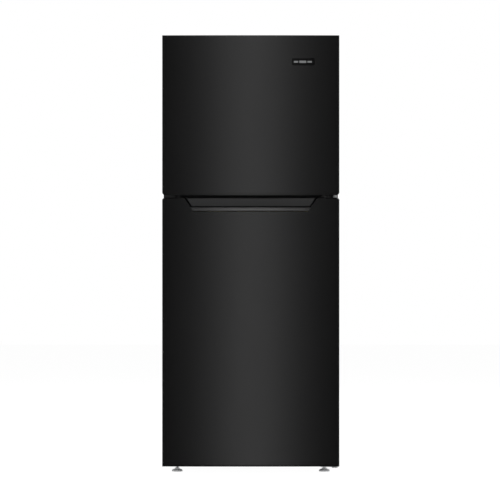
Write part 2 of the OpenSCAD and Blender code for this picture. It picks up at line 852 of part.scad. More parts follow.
// Trapezoid of the pocket handle, g larger, from level z0 up to the top of the fridge door
module pocket_shape(g, z0, y0, y1) {
    slope = 0.71;
    top = pocket_w / 2 + g;
    low = top - slope * (fr_z1 - z0);
    translate([0, y1, 0]) rotate([90, 0, 0]) linear_extrude(height = y1 - y0)
        polygon([[-low, z0], [low, z0], [top, fr_z1], [top, fr_z1 + 2], [-top, fr_z1 + 2], [-top, fr_z1]]);
}

module freezer_door_skin() {
    color("#1b1c1e") intersection() {
        difference() {
            door_shell(fz_z0 + cap_t, fz_z1);
            slab(door_half + eps, y_front + lip_t, y_door + eps, fz_z1 - cap_recess, fz_z1 + eps);
        }
        door_mask(0, fz_z0, fz_z1, corner_r, 1);
    }
}

module freezer_door_top_cap() {
    z = fz_z1 - cap_recess;
    color("#17181a") difference() {
        union() {
            door_solid(sheet_t, z - cap_t, z);
            intersection() {
                door_solid(sheet_t, z - cap_t, fz_z1 - 0.5);
                slab(door_half, y_front - eps, y_front + lip_t, z - cap_t, fz_z1);
            }
            hinge_boss(z - cap_plug, z - 1);
        }
        hinge_bore(z - cap_plug + 3, z + eps);
    }
}

module freezer_door_bottom_cap() {
    z = fz_z0;
    color("#17181a") difference() {
        union() {
            intersection() {
                door_solid(0, z, z + cap_t);
                door_mask(0, z, z + 200, corner_r, 1);
            }
            hinge_boss(z + 1, z + cap_plug);
            groove_block(2, z + 1, z + 16);
        }
        groove_block(0, z - eps, z + 13);
        hinge_bore(z - eps, z + pin_len + 1);
    }
}

// Finger groove under the freezer door
module groove_block(g, z0, z1) {
    slab(pocket_w / 2 + g, y_front + 14 - g, y_front + 38 + g, z0, z1);
}

module freezer_door_liner() {
    z0 = fz_z0 + cap_t;
    z1 = fz_z1 - cap_recess - cap_t;
    color("#f2f3f3") difference() {
        union() {
            intersection() {
                slab(door_half - sheet_t, y_door - door_liner_t, y_door, z0, z1);
                door_mask(sheet_t, fz_z0 + sheet_t, fz_z1, corner_r, 1);
            }
            dyke(fz_in_z0, fz_in_z1, 0);
            bin_lugs(fz_bins);
        }
        dyke(fz_in_z0, fz_in_z1, dyke_t);
    }
}

module freezer_door_foam() {
    z0 = fz_z0 + cap_t;
    z1 = fz_z1 - cap_recess - cap_t;
    color("#d9cfa6") difference() {
        intersection() {
            union() {
                difference() {
                    door_solid(sheet_t, z0, z1);
                    slab(door_half, y_door - door_liner_t, y_door + eps, z0 - eps, z1 + eps);
                }
                dyke(fz_in_z0, fz_in_z1, dyke_t + 0.2);
            }
            door_mask(sheet_t, fz_z0 + sheet_t, fz_z1, corner_r, 1);
        }
        hinge_boss(z1 - cap_plug, z1 + eps);
        hinge_boss(z0 - eps, z0 + cap_plug);
        groove_block(2, z0 - eps, fz_z0 + 16);
    }
}

module freezer_door_gasket() {
    color("#2a2a2b") gasket(split_z + gasket_split - gasket_w / 2, cab_z1 - gasket_in + gasket_w / 2);
}

module freezer_door_bins() {
    color("#e3ecef") bins_of(fz_bins);
}

module door_badge() {
    x = door_half - 122;
    z = fz_z1 - 90;
    color("#0c0c0d") difference() {
        block([x - badge_w / 2, y_front + 0.5, z - badge_h / 2],
            [x + badge_w / 2, y_front + 4.5, z + badge_h / 2]);
        door_solid(0, z - badge_h, z + badge_h);
    }
}

module fridge_door_skin() {
    color("#1b1c1e") intersection() {
        difference() {
            door_shell(fr_z0 + cap_t, fr_z1 - cap_t);
            pocket_shape(4, fr_z1 - pocket_h - lip_h, y_front - eps, y_front + lip_t);
        }
        door_mask(0, fr_z0, fr_z1, 1, corner_r);
    }
}

module fridge_door_top_cap() {
    z = fr_z1;
    lip_z = z - pocket_h;
    floor_z = lip_z - lip_h;
    lip_r = 6;
    color("#17181a") difference() {
        union() {
            intersection() {
                door_solid(0, z - cap_t, z);
                door_mask(0, z - 200, z, 1, corner_r);
            }
            intersection() {
                door_solid(0, floor_z, z);
                pocket_shape(4, floor_z, y_front - eps, y_front + pocket_depth + 4);
            }
            hinge_boss(z - cap_plug, z - 1);
        }
        difference() {
            pocket_shape(0, floor_z + 3, y_front - 2 * eps, y_front + pocket_depth);
            slab(pocket_w, y_front - 3 * eps, y_front + 2 * lip_r, floor_z, lip_z - lip_r);
            translate([-pocket_w, y_front + lip_r, lip_z - lip_r]) rotate([0, 90, 0])
                cylinder(r = lip_r, h = 2 * pocket_w);
        }
        hinge_bore(z - pin_len - 1, z + eps);
    }
}

module fridge_door_bottom_cap() {
    z = fr_z0;
    color("#17181a") difference() {
        union() {
            door_solid(0, z, z + cap_t);
            hinge_boss(z + 1, z + cap_plug);
        }
        hinge_bore(z - eps, z + pin_len + 1);
    }
}

module fridge_door_liner() {
    z0 = fr_z0 + cap_t;
    z1 = fr_z1 - cap_t;
    color("#f2f3f3") difference() {
        union() {
            intersection() {
                slab(door_half - sheet_t, y_door - door_liner_t, y_door, z0, z1);
                door_mask(sheet_t, fr_z0, fr_z1 - sheet_t, 1, corner_r);
            }
            dyke(fr_in_z0, fr_in_z1, 0);
            bin_lugs(fr_bins);
        }
        dyke(fr_in_z0, fr_in_z1, dyke_t);
    }
}

module fridge_door_foam() {
    z0 = fr_z0 + cap_t;
    z1 = fr_z1 - cap_t;
    color("#d9cfa6") difference() {
        intersection() {
            union() {
                difference() {
                    door_solid(sheet_t, z0, z1);
                    slab(door_half, y_door - door_liner_t, y_door + eps, z0 - eps, z1 + eps);
                }
                dyke(fr_in_z0, fr_in_z1, dyke_t + 0.2);
            }
            door_mask(sheet_t, fr_z0, fr_z1 - sheet_t, 1, corner_r);
        }
        hinge_boss(fr_z1 - cap_plug, z1 + eps);
        hinge_boss(z0 - eps, z0 + cap_plug);
        pocket_shape(4, fr_z1 - pocket_h - lip_h, y_front - eps, y_front + pocket_depth + 4);
    }
}

module fridge_door_gasket() {
    color("#2a2a2b") gasket(cab_z0 + gasket_in - gasket_w / 2, split_z - gasket_split + gasket_w / 2);
}

module fridge_door_bins() {
    color("#e3ecef") bins_of(fr_bins);
}

cabinet_wrapper();
back_panel();
base_pan();
compressor_deck();
cabinet_foam();
freezer_liner();
fridge_liner();
mullion_rail();
top_hinge_bracket();
top_hinge_cover();
middle_hinge_bracket();
bottom_hinge_bracket();
hinge_screws();
hinge_hole_plugs();
foot_brackets();
compressor();
compressor_grommets();
terminal_cover();
filter_dryer();
refrigerant_pipes();
condenser_coil();
drain_pan();
drain_tube();
evaporator();
evaporator_cover();
fan_motor();
control_box();
lamp_bulb();
lamp_lens();
switch_housing();
freezer_shelf();
shelf_glass();
shelf_trims();
crisper_cover();
cord_gland();
fan_blade();
temperature_dial();
freezer_dial();
switch_plunger();
crisper_drawer();
humidity_slider();
left_foot();
right_foot();
left_roller();
right_roller();
freezer_door_skin();
freezer_door_foam();
freezer_door_liner();
freezer_door_top_cap();
freezer_door_bottom_cap();
freezer_door_gasket();
freezer_door_bins();
door_badge();
fridge_door_skin();
fridge_door_foam();
fridge_door_liner();
fridge_door_top_cap();
fridge_door_bottom_cap();
fridge_door_gasket();
fridge_door_bins();
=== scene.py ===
"""Looks of a free-standing top freezer refrigerator.

Finishes, doors, pocket handle, seals, door shelves, drawer and rear parts, and the studio round them.
"""

import logging
import math
from dataclasses import dataclass, field
from enum import Enum
from typing import Iterable, Optional, Sequence, Union

import bmesh
import bpy
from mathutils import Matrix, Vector


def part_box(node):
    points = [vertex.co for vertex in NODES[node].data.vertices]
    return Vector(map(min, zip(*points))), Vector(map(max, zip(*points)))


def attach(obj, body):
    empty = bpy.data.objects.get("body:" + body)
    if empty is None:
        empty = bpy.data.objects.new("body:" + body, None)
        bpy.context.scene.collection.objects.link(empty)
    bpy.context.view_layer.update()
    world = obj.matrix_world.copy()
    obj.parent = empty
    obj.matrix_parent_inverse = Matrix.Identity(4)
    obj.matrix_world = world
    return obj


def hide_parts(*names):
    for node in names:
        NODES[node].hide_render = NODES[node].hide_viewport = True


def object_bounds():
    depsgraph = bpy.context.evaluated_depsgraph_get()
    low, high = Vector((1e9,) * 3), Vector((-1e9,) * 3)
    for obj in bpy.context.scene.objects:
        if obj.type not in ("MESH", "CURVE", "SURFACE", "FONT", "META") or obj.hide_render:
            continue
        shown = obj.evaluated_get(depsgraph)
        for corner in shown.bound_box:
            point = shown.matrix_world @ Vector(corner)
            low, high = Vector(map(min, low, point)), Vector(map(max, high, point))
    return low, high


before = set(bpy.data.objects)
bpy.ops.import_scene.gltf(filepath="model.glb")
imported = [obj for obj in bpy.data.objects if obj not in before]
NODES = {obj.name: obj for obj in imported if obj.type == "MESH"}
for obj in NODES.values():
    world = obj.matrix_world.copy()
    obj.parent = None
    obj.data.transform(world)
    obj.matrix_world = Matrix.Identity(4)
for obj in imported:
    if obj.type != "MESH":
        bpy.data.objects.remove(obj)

LOG = logging.getLogger("refrigerator")
MM = 0.001
CAD_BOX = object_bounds()

Pair = tuple[float, float]
Point = tuple[float, float, float]
Colour = tuple[float, float, float]


# ---------------------------------------------------------------- shader graph


class Value:
    """A shader socket that Python's operators can work on."""

    def __init__(self, graph: "Graph", socket: bpy.types.NodeSocket) -> None:
        """Wraps a socket.

        Args:
            graph: the graph that new nodes go into.
            socket: the output socket.
        """
        self.graph = graph
        self.socket = socket

    def __add__(self, other: "Number") -> "Value":
        """self + other."""
        return self.graph.math("ADD", self, other)

    def __radd__(self, other: "Number") -> "Value":
        """other + self."""
        return self.graph.math("ADD", other, self)

    def __sub__(self, other: "Number") -> "Value":
        """self - other."""
        return self.graph.math("SUBTRACT", self, other)

    def __rsub__(self, other: "Number") -> "Value":
        """other - self."""
        return self.graph.math("SUBTRACT", other, self)

    def __mul__(self, other: "Number") -> "Value":
        """self * other."""
        return self.graph.math("MULTIPLY", self, other)

    def __rmul__(self, other: "Number") -> "Value":
        """other * self."""
        return self.graph.math("MULTIPLY", other, self)


Number = Union[Value, float, int]


class Graph:
    """The node tree of one material."""

    octave_share: float = 0.55

    def __init__(self, name: str) -> None:
        """Makes an empty material with a Principled shader.

        Args:
            name: the material's name.
        """
        self.material = bpy.data.materials.new(name)
        self.material.use_nodes = True
        self.tree = self.material.node_tree
        self.tree.nodes.clear()
        self.shader = self.tree.nodes.new("ShaderNodeBsdfPrincipled")
        output = self.tree.nodes.new("ShaderNodeOutputMaterial")
        self.tree.links.new(self.shader.outputs["BSDF"], output.inputs["Surface"])

    def node(self, kind: str, settings: Optional[dict] = None, inputs: Optional[dict] = None,
             output: Union[int, str] = 0) -> Value:
        """Adds one node.

        Args:
            kind: the node's type, without its ShaderNode prefix.
            settings: attributes, set first.
            inputs: socket name or index to a value, colour or link.
            output: the output wanted.

        Returns:
            The output socket, ready for more maths.
        """
        made = self.tree.nodes.new("ShaderNode" + kind)
        for key, setting in (settings or {}).items():
            setattr(made, key, setting)
        for key, value in (inputs or {}).items():
            self.feed(made.inputs[key], value)
        return Value(self, made.outputs[output])

    def feed(self, socket: bpy.types.NodeSocket, value: Union[Number, Sequence[float]]) -> None:
        """Links or sets one input socket.

        Args:
            socket: the input.
            value: a link, a number or a colour.
        """
        if isinstance(value, Value):
            self.tree.links.new(value.socket, socket)
        elif isinstance(value, (int, float)):
            socket.default_value = value
        else:
            size = len(socket.default_value)
            socket.default_value = (*value, 1.0) if size == 4 and len(value) == 3 else tuple(value)

    def math(self, operation: str, first: Number, second: Number) -> Value:
        """One Math node."""
        return self.node("Math", {"operation": operation}, {0: first, 1: second})

    def clamp(self, value: Value, low: float, high: float) -> Value:
        """A value held between two limits."""
        return self.node("Clamp", None, {"Value": value, "Min": low, "Max": high})

    def place(self, stretch: Point = (1.0, 1.0, 1.0)) -> Value:
        """The point on the object at rest, scaled along each axis."""
        point = self.node("TexCoord", output="Object")
        return self.node("Mapping", None, {"Vector": point, "Scale": stretch})

    def noise(self, scale: float, detail: float, stretch: Point = (1.0, 1.0, 1.0)) -> Value:
        """Fractal noise between 0 and 1.

        Args:
            scale: waves in a metre.
            detail: octaves.
            stretch: scale along each axis.

        Returns:
            The noise value.
        """
        sockets = {"Vector": self.place(stretch), "Scale": scale, "Detail": detail}
        return self.node("TexNoise", {"noise_dimensions": "3D"}, {**sockets, "Roughness": self.octave_share})

    def cells(self, scale: float, feature: str = "F1", output: str = "Distance") -> Value:
        """Voronoi cells, for spangle, stipple and foam."""
        return self.node("TexVoronoi", {"feature": feature}, {"Vector": self.place(), "Scale": scale}, output)

    def mix(self, factor: Number, first: Union[Value, Colour], second: Union[Value, Colour]) -> Value:
        """A colour between two colours."""
        return self.node("Mix", {"data_type": "RGBA"}, {0: factor, 6: first, 7: second}, 2)

    def band(self, value: Value, low: float, high: float) -> Value:
        """0 below low, 1 above high, smooth between."""
        return self.node("MapRange", {"interpolation_type": "SMOOTHSTEP"},
                         {"Value": value, "From Min": low, "From Max": high})

    def bump(self, height: Value, depth: float) -> Value:
        """A Bump node of a real depth in metres."""
        return self.node("Bump", None, {"Height": height, "Distance": depth})

    def upward(self) -> Value:
        """1 on faces that look up, 0 on walls."""
        normal = self.node("NewGeometry", output="Normal")
        z = self.node("SeparateXYZ", None, {0: normal}, "Z")
        return self.band(z, low=0.55, high=0.95)

    def set(self, **sockets: Union[Number, Sequence[float]]) -> None:
        """Sets Principled sockets, with _ for a space in their names."""
        for name, value in sockets.items():
            self.feed(self.shader.inputs[name.replace("_", " ")], value)


# ---------------------------------------------------------------- finishes

DUST_COLOUR: Colour = (0.42, 0.4, 0.37)
SMOOTHEST = 0.03


@dataclass(frozen=True)
class Finish:
    """A finish with a colour, a gloss, mottle, fine grain and a little settled dust."""

    name: str
    colour: Colour
    roughness: float
    metallic: float = 0.0
    mottle: float = 0.12
    mottle_scale: float = 9.0
    gloss_change: float = 0.08
    grain_scale: float = 900.0
    grain_depth: float = 0.00002
    dust: float = 0.15
    specular: float = 0.5

    def material(self) -> bpy.types.Material:
        """The material, made once."""
        known = bpy.data.materials.get(self.name)
        if known:
            return known
        graph = Graph(self.name)
        self.dress(graph)
        return graph.material

    def tint(self, graph: Graph, colour: Union[Value, Colour]) -> Value:
        """Base colour with broad mottle and dust on upward faces."""
        dark = tuple(c * (1.0 - self.mottle) for c in self.colour)
        patches = graph.noise(self.mottle_scale, detail=5.0)
        toned = graph.mix(graph.band(patches, low=0.35, high=0.65), dark, colour)
        specks = graph.band(graph.noise(scale=60.0, detail=6.0), low=0.45, high=0.8)
        return graph.mix(graph.upward() * specks * self.dust, toned, DUST_COLOUR)

    def gloss(self, graph: Graph) -> Value:
        """Roughness that drifts over the surface with faint rub marks."""
        smears = graph.noise(scale=14.0, detail=6.0, stretch=(1.0, 1.0, 0.35))
        return graph.clamp(self.roughness + (smears - 0.5) * (2.0 * self.gloss_change), SMOOTHEST, 1.0)

    def relief(self, graph: Graph) -> Value:
        """Fine surface grain."""
        return graph.bump(graph.noise(self.grain_scale, detail=2.0), self.grain_depth)

    def dress(self, graph: Graph) -> None:
        """Fills the material's graph."""
        graph.set(Base_Color=self.tint(graph, self.colour), Roughness=self.gloss(graph),
                  Metallic=self.metallic, Normal=self.relief(graph), Specular_IOR_Level=self.specular)


@dataclass(frozen=True)
class RolledPaint(Finish):
    """Satin sheet paint with faint orange peel."""

    peel_scale: float = 260.0
    peel_depth: float = 0.000006

    def relief(self, graph: Graph) -> Value:
        """Faint orange peel."""
        return graph.bump(graph.noise(self.peel_scale, detail=2.0), self.peel_depth)


@dataclass(frozen=True)
class PebblePaint(Finish):
    """Textured cabinet paint with a pebbled surface."""

    pebble_scale: float = 420.0
    pebble_depth: float = 0.00012
    fine_scale: float = 2.6
    fine_share: float = 0.4

    def relief(self, graph: Graph) -> Value:
        """Rounded pebbles of two sizes."""
        coarse = graph.cells(self.pebble_scale, "SMOOTH_F1")
        fine = graph.noise(self.fine_scale * self.pebble_scale, detail=3.0)
        return graph.bump(coarse + self.fine_share * fine, self.pebble_depth)


@dataclass(frozen=True)
class Spangle(Finish):
    """Galvanised sheet with crystal spangle."""

    spangle_scale: float = 45.0
    darkest: float = 0.72

    def tint(self, graph: Graph, colour: Union[Value, Colour]) -> Value:
        """Crystals of slightly different greys."""
        crystal = graph.cells(self.spangle_scale, "F1", "Color")
        grey = graph.node("SeparateColor", None, {0: crystal}, 0)
        dark = tuple(c * self.darkest for c in self.colour)
        return graph.mix(grey, dark, colour)


@dataclass(frozen=True)
class Drawn(Finish):
    """Metal with marks drawn along Z and dull oxide patches."""

    oxide: Colour = (0.2, 0.12, 0.08)
    oxide_share: float = 0.5

    def tint(self, graph: Graph, colour: Union[Value, Colour]) -> Value:
        """Bare metal with dulled patches."""
        patches = graph.band(graph.noise(scale=30.0, detail=6.0), low=0.5, high=0.72)
        return graph.mix(patches * self.oxide_share, colour, self.oxide)

    def relief(self, graph: Graph) -> Value:
        """Fine scratches."""
        scratches = graph.noise(scale=700.0, detail=3.0, stretch=(1.0, 1.0, 0.05))
        return graph.bump(scratches, self.grain_depth)


@dataclass(frozen=True)
class Clear(Finish):
    """Clear glass or plastic, seen through by its low alpha."""

    edge: Colour = (0.4, 0.7, 0.6)
    opacity: float = 0.25
    smear_tint: float = 0.3
    smear_opacity: float = 0.06

    def dress(self, graph: Graph) -> None:
        """Alpha kept low, higher where light smears lie."""
        smears = graph.band(graph.noise(scale=18.0, detail=5.0), low=0.45, high=0.8)
        graph.set(Base_Color=graph.mix(smears * self.smear_tint, self.edge, self.colour),
                  Roughness=self.gloss(graph), Alpha=self.opacity + smears * self.smear_opacity,
                  Normal=self.relief(graph))
        graph.material.blend_method = "HASHED"


@dataclass(frozen=True)
class Paper(Finish):
    """Seamless backdrop paper, lit evenly from behind."""

    glow: float = 0.98
    fibre: Colour = (0.1, 0.1, 0.1)

    def dress(self, graph: Graph) -> None:
        """A pale even glow with a faint fibre mottle."""
        fibres = graph.noise(scale=2.0, detail=3.0)
        graph.set(Base_Color=graph.mix(fibres, self.fibre, self.colour), Roughness=self.roughness,
                  Emission_Color=(1.0, 1.0, 1.0), Emission_Strength=self.glow)


@dataclass(frozen=True)
class Foamed(Finish):
    """Rigid insulation with open cells."""

    pit_scale: float = 380.0
    pit_depth: float = 0.0006

    def relief(self, graph: Graph) -> Value:
        """Small pits."""
        return graph.bump(graph.cells(self.pit_scale), self.pit_depth)


SATIN_DOOR = RolledPaint("satin_door_paint", (0.0015, 0.0015, 0.0016), 0.195, mottle=0.05, gloss_change=0.01,
                         dust=0.02, specular=0.164)
TRIM_BLACK = Finish("satin_trim_plastic", (0.0017, 0.0017, 0.0018), 0.2, mottle=0.05, gloss_change=0.02,
                    grain_scale=1400.0, grain_depth=0.000006, dust=0.02, specular=0.164)
HANDLE_BLACK = Finish("satin_handle_plastic", (0.003, 0.003, 0.0031), 0.3, mottle=0.06, gloss_change=0.03,
                      grain_scale=1400.0, grain_depth=0.00001, dust=0.03, specular=0.245)
LIP_BLACK = Finish("polished_lip_plastic", (0.0024, 0.0024, 0.0025), 0.22, mottle=0.05, gloss_change=0.02,
                   grain_scale=1400.0, grain_depth=0.000006, dust=0.02, specular=0.164)
MATTE_BLACK = Finish("matte_rail_paint", (0.008, 0.008, 0.0083), 0.6, mottle=0.05, dust=0.02, specular=0.25)
NYLON = Finish("pale_nylon", (0.64, 0.65, 0.66), 0.45, mottle=0.08)
CABINET_PAINT = PebblePaint("pebbled_cabinet_paint", (0.0105, 0.0106, 0.011), 0.42, mottle=0.1, dust=0.1)
BACK_STEEL = PebblePaint("coated_back_steel", (0.035, 0.036, 0.038), 0.55, pebble_depth=0.00005, dust=0.2)
GALVANISED = Spangle("galvanised_sheet", (0.5, 0.52, 0.53), 0.38, metallic=1.0)
DARK_STEEL = Finish("dark_plated_steel", (0.012, 0.012, 0.0125), 0.4, mottle=0.1)
PALE_GREY = Finish("pale_grey_coat", (0.78, 0.79, 0.8), 0.5, mottle=0.05, specular=0.3)
FOAM = Foamed("rigid_foam", (0.72, 0.64, 0.4), 0.9, mottle=0.2, mottle_scale=20.0)
LINER_WHITE = Finish("white_liner", (0.8, 0.81, 0.815), 0.28, mottle=0.03, gloss_change=0.05,
                     grain_scale=500.0, grain_depth=0.00003, dust=0.02)
BLACK_PLASTIC = Finish("black_moulding", (0.011, 0.011, 0.0115), 0.45,
                       grain_scale=1500.0, grain_depth=0.00004)
BADGE_BLACK = Finish("badge_gloss", (0.001, 0.001, 0.0011), 0.16, mottle=0.02, gloss_change=0.02,
                     grain_depth=0.000001, dust=0.01, specular=0.03)
BADGE_SILVER = Finish("badge_silver", (0.29, 0.295, 0.3), 0.4, mottle=0.05, grain_depth=0.000002, dust=0.02,
                      specular=0.3)
ENAMEL = RolledPaint("compressor_enamel", (0.012, 0.012, 0.013), 0.3, peel_depth=0.00006, dust=0.35)
RUBBER = Finish("black_rubber", (0.018, 0.018, 0.018), 0.7, grain_scale=1200.0, grain_depth=0.00005, dust=0.2)
SEAL = Finish("door_seal", (0.011, 0.011, 0.0113), 0.55, grain_scale=800.0, grain_depth=0.00002, dust=0.05,
              specular=0.18)
CREAM = Finish("offwhite_moulding", (0.7, 0.69, 0.65), 0.4, mottle=0.06)
BLUE_GREY = Finish("bluegrey_moulding", (0.2, 0.3, 0.36), 0.35)
COPPER = Drawn("drawn_copper", (0.78, 0.36, 0.2), 0.3, metallic=1.0)
ALUMINIUM = Drawn("bare_aluminium", (0.7, 0.71, 0.72), 0.35, metallic=1.0, oxide=(0.5, 0.5, 0.51))
WIRE_WHITE = Finish("coated_wire", (0.78, 0.79, 0.79), 0.3, mottle=0.04)
BULB = Finish("frosted_lamp", (0.86, 0.84, 0.78), 0.5, mottle=0.05)
LENS = Finish("milky_lens", (0.84, 0.85, 0.84), 0.25, mottle=0.03, grain_scale=300.0, grain_depth=0.0002)
BIN_CLEAR = Clear("clear_bin_plastic", (0.82, 0.9, 0.93), 0.12, edge=(0.6, 0.72, 0.78), opacity=0.17)
GLASS = Clear("shelf_safety_glass", (0.75, 0.9, 0.86), 0.05, edge=(0.35, 0.62, 0.55), opacity=0.16)
FLOOR = Paper("studio_floor", (0.12, 0.12, 0.12), 0.9)
MARK_GREY = Finish("printed_marks", (0.1, 0.12, 0.14), 0.5, mottle=0.03)


# ---------------------------------------------------------------- mesh making


class Axis(Enum):
    """Row axes by index."""

    X = 0
    Y = 1
    Z = 2


def spread(low: float, high: float, count: int) -> list[float]:
    """Evenly spaced values from low to high, both included."""
    return [low + (high - low) * i / count for i in range(count + 1)]


def arc(centre: Pair, radius: float, start: float, stop: float, steps: int) -> list[Pair]:
    """Points of an arc in a plane, angles in degrees.

    Args:
        centre: middle of the arc.
        radius: its radius.
        start: first angle.
        stop: last angle.
        steps: number of chords.

    Returns:
        The points, both ends included.
    """
    angles = [math.radians(a) for a in spread(start, stop, steps)]
    return [(centre[0] + radius * math.cos(a), centre[1] + radius * math.sin(a)) for a in angles]


def rounded(half_x: float, half_y: float, radius: float, steps: int = 5) -> list[Pair]:
    """Outline of a rectangle with round corners, centred on the origin."""
    points: list[Pair] = []
    for sx, sy, start in ((1, 1, 0), (-1, 1, 90), (-1, -1, 180), (1, -1, 270)):
        centre = (sx * (half_x - radius), sy * (half_y - radius))
        points += arc(centre, radius, start, start + 90, steps)
    return points


class Mesh:
    """A mesh in the making, in the shared frame, in metres."""

    most_ease: float = 0.45
    least_corner: float = 1.2
    most_corner: float = 0.98
    weld: float = 0.002 * MM

    def __init__(self) -> None:
        """Starts empty."""
        self.bm = bmesh.new()

    def ring(self, points: Iterable[Point]) -> list[bmesh.types.BMVert]:
        """Adds one row of vertices."""
        return [self.bm.verts.new(p) for p in points]

    def skin(self, rows: Sequence[Sequence[bmesh.types.BMVert]], closed: bool = True) -> None:
        """Joins rows of equal length with quads.

        Args:
            rows: the rows, in order.
            closed: whether each row is a loop.
        """
        for below, above in zip(rows, rows[1:]):
            count = len(below)
            for i in range(count if closed else count - 1):
                j = (i + 1) % count
                self.bm.faces.new((below[i], below[j], above[j], above[i]))

    def cap(self, row: Sequence[bmesh.types.BMVert]) -> None:
        """Closes a loop with one face."""
        self.bm.faces.new(row)

    def loft(self, loops: Sequence[Sequence[Point]]) -> None:
        """A closed form through loops, capped at both ends."""
        rows = [self.ring(loop) for loop in loops]
        self.skin(rows)
        self.cap(list(reversed(rows[0])))
        self.cap(rows[-1])

    def tube(self, path: Sequence[Vector], radius: float, sides: int = 12) -> None:
        """A round tube along a path of points, with closed ends.

        Args:
            path: the centre line.
            radius: the tube's radius.
            sides: points round it.
        """
        points = [Vector(p) for p in path]
        normal = None
        loops = []
        for i, point in enumerate(points):
            ahead = points[min(i + 1, len(points) - 1)] - points[max(i - 1, 0)]
            ahead.normalize()
            if normal is None:
                normal = ahead.orthogonal().normalized()
            normal = (normal - ahead * normal.dot(ahead)).normalized()
            other = ahead.cross(normal)
            loops.append([point + radius * (math.cos(t) * normal + math.sin(t) * other)
                          for t in (2 * math.pi * k / sides for k in range(sides))])
        self.loft(loops)

    def lathe(self, centre: Point, axis: Axis, profile: Sequence[Pair], sides: int) -> None:
        """Turns a profile of (radius, height) pairs round an axis.

        Args:
            centre: a point on the axis that heights count from.
            axis: the axis turned round.
            profile: the pairs, from one closed end to the other.
            sides: points round it.
        """
        others = [a for a in Axis if a is not axis]
        loops = []
        for radius, height in profile:
            loop = []
            for k in range(sides):
                t = 2 * math.pi * k / sides
                point = list(centre)
                point[others[0].value] += radius * math.cos(t)
                point[others[1].value] += radius * math.sin(t)
                point[axis.value] += height
                loop.append(tuple(point))
            loops.append(loop)
        self.loft(loops)

    def block(self, low: Sequence[float], high: Sequence[float], ease: float = 0.8 * MM,
              corner: Optional[float] = None, axis: Axis = Axis.Z) -> None:
        """A box with round corners in plan and eased ends.

        Args:
            low: lowest corner.
            high: highest corner.
            ease: size of the rounding at its ends.
            corner: corner radius in plan, or None for the same as ease.
            axis: the direction that the plan is seen along.
        """
        half = [(b - a) / 2 for a, b in zip(low, high)]
        mid = [(a + b) / 2 for a, b in zip(low, high)]
        u, v = [a.value for a in Axis if a is not axis]
        w = axis.value
        ease = min(ease, self.most_ease * min(half))
        corner = min(max(corner or ease, self.least_corner * ease), self.most_corner * min(half[u], half[v]))
        levels = [(ease, -half[w]), (0.3 * ease, 0.3 * ease - half[w]), (0.0, ease - half[w])]
        levels += [(inset, -place) for inset, place in reversed(levels)]
        loops = []
        for inset, place in levels:
            loop = []
            for x, y in rounded(half[u] - inset, half[v] - inset, corner - inset):
                point = [0.0, 0.0, 0.0]
                point[u], point[v], point[w] = mid[u] + x, mid[v] + y, mid[w] + place
                loop.append(tuple(point))
            loops.append(loop)
        self.loft(loops)

    def finish(self, name: str, finish: Finish, smooth: float = 40.0) -> bpy.types.Object:
        """Turns the mesh into an object.

        Args:
            name: the piece's name.
            finish: its finish.
            smooth: edges sharper than this many degrees stay sharp.

        Returns:
            The object, at the origin.
        """
        bmesh.ops.remove_doubles(self.bm, verts=self.bm.verts, dist=self.weld)
        bmesh.ops.recalc_face_normals(self.bm, faces=self.bm.faces)
        data = bpy.data.meshes.new(name)
        self.bm.to_mesh(data)
        self.bm.free()
        data.materials.append(finish.material())
        piece = bpy.data.objects.new(name, data)
        bpy.context.scene.collection.objects.link(piece)
        data.shade_smooth()
        data.set_sharp_from_angle(angle=math.radians(smooth))
        return piece


def modify(piece: bpy.types.Object, kind: str, **settings: Union[float, int, str, bool]) -> None:
    """Adds a modifier with its settings."""
    modifier = piece.modifiers.new(kind.title(), kind)
    for key, value in settings.items():
        setattr(modifier, key, value)


def bezier_path(points: Sequence[Point], radius: float, steps: int = 6) -> list[Vector]:
    """A path through points with each inner corner rounded.

    Args:
        points: corners of the route.
        radius: distance from a corner where its bend starts.
        steps: chords in a bend.

    Returns:
        The points of the rounded path.
    """
    corners = [Vector(p) for p in points]
    path = [corners[0]]
    for before, corner, after in zip(corners, corners[1:], corners[2:]):
        into, out = before - corner, after - corner
        reach = min(radius, 0.45 * into.length, 0.45 * out.length)
        start, stop = corner + into.normalized() * reach, corner + out.normalized() * reach
        for t in spread(0.0, 1.0, steps):
            path.append((1 - t) ** 2 * start + 2 * t * (1 - t) * corner + t ** 2 * stop)
    path.append(corners[-1])
    return path


# ---------------------------------------------------------------- doors


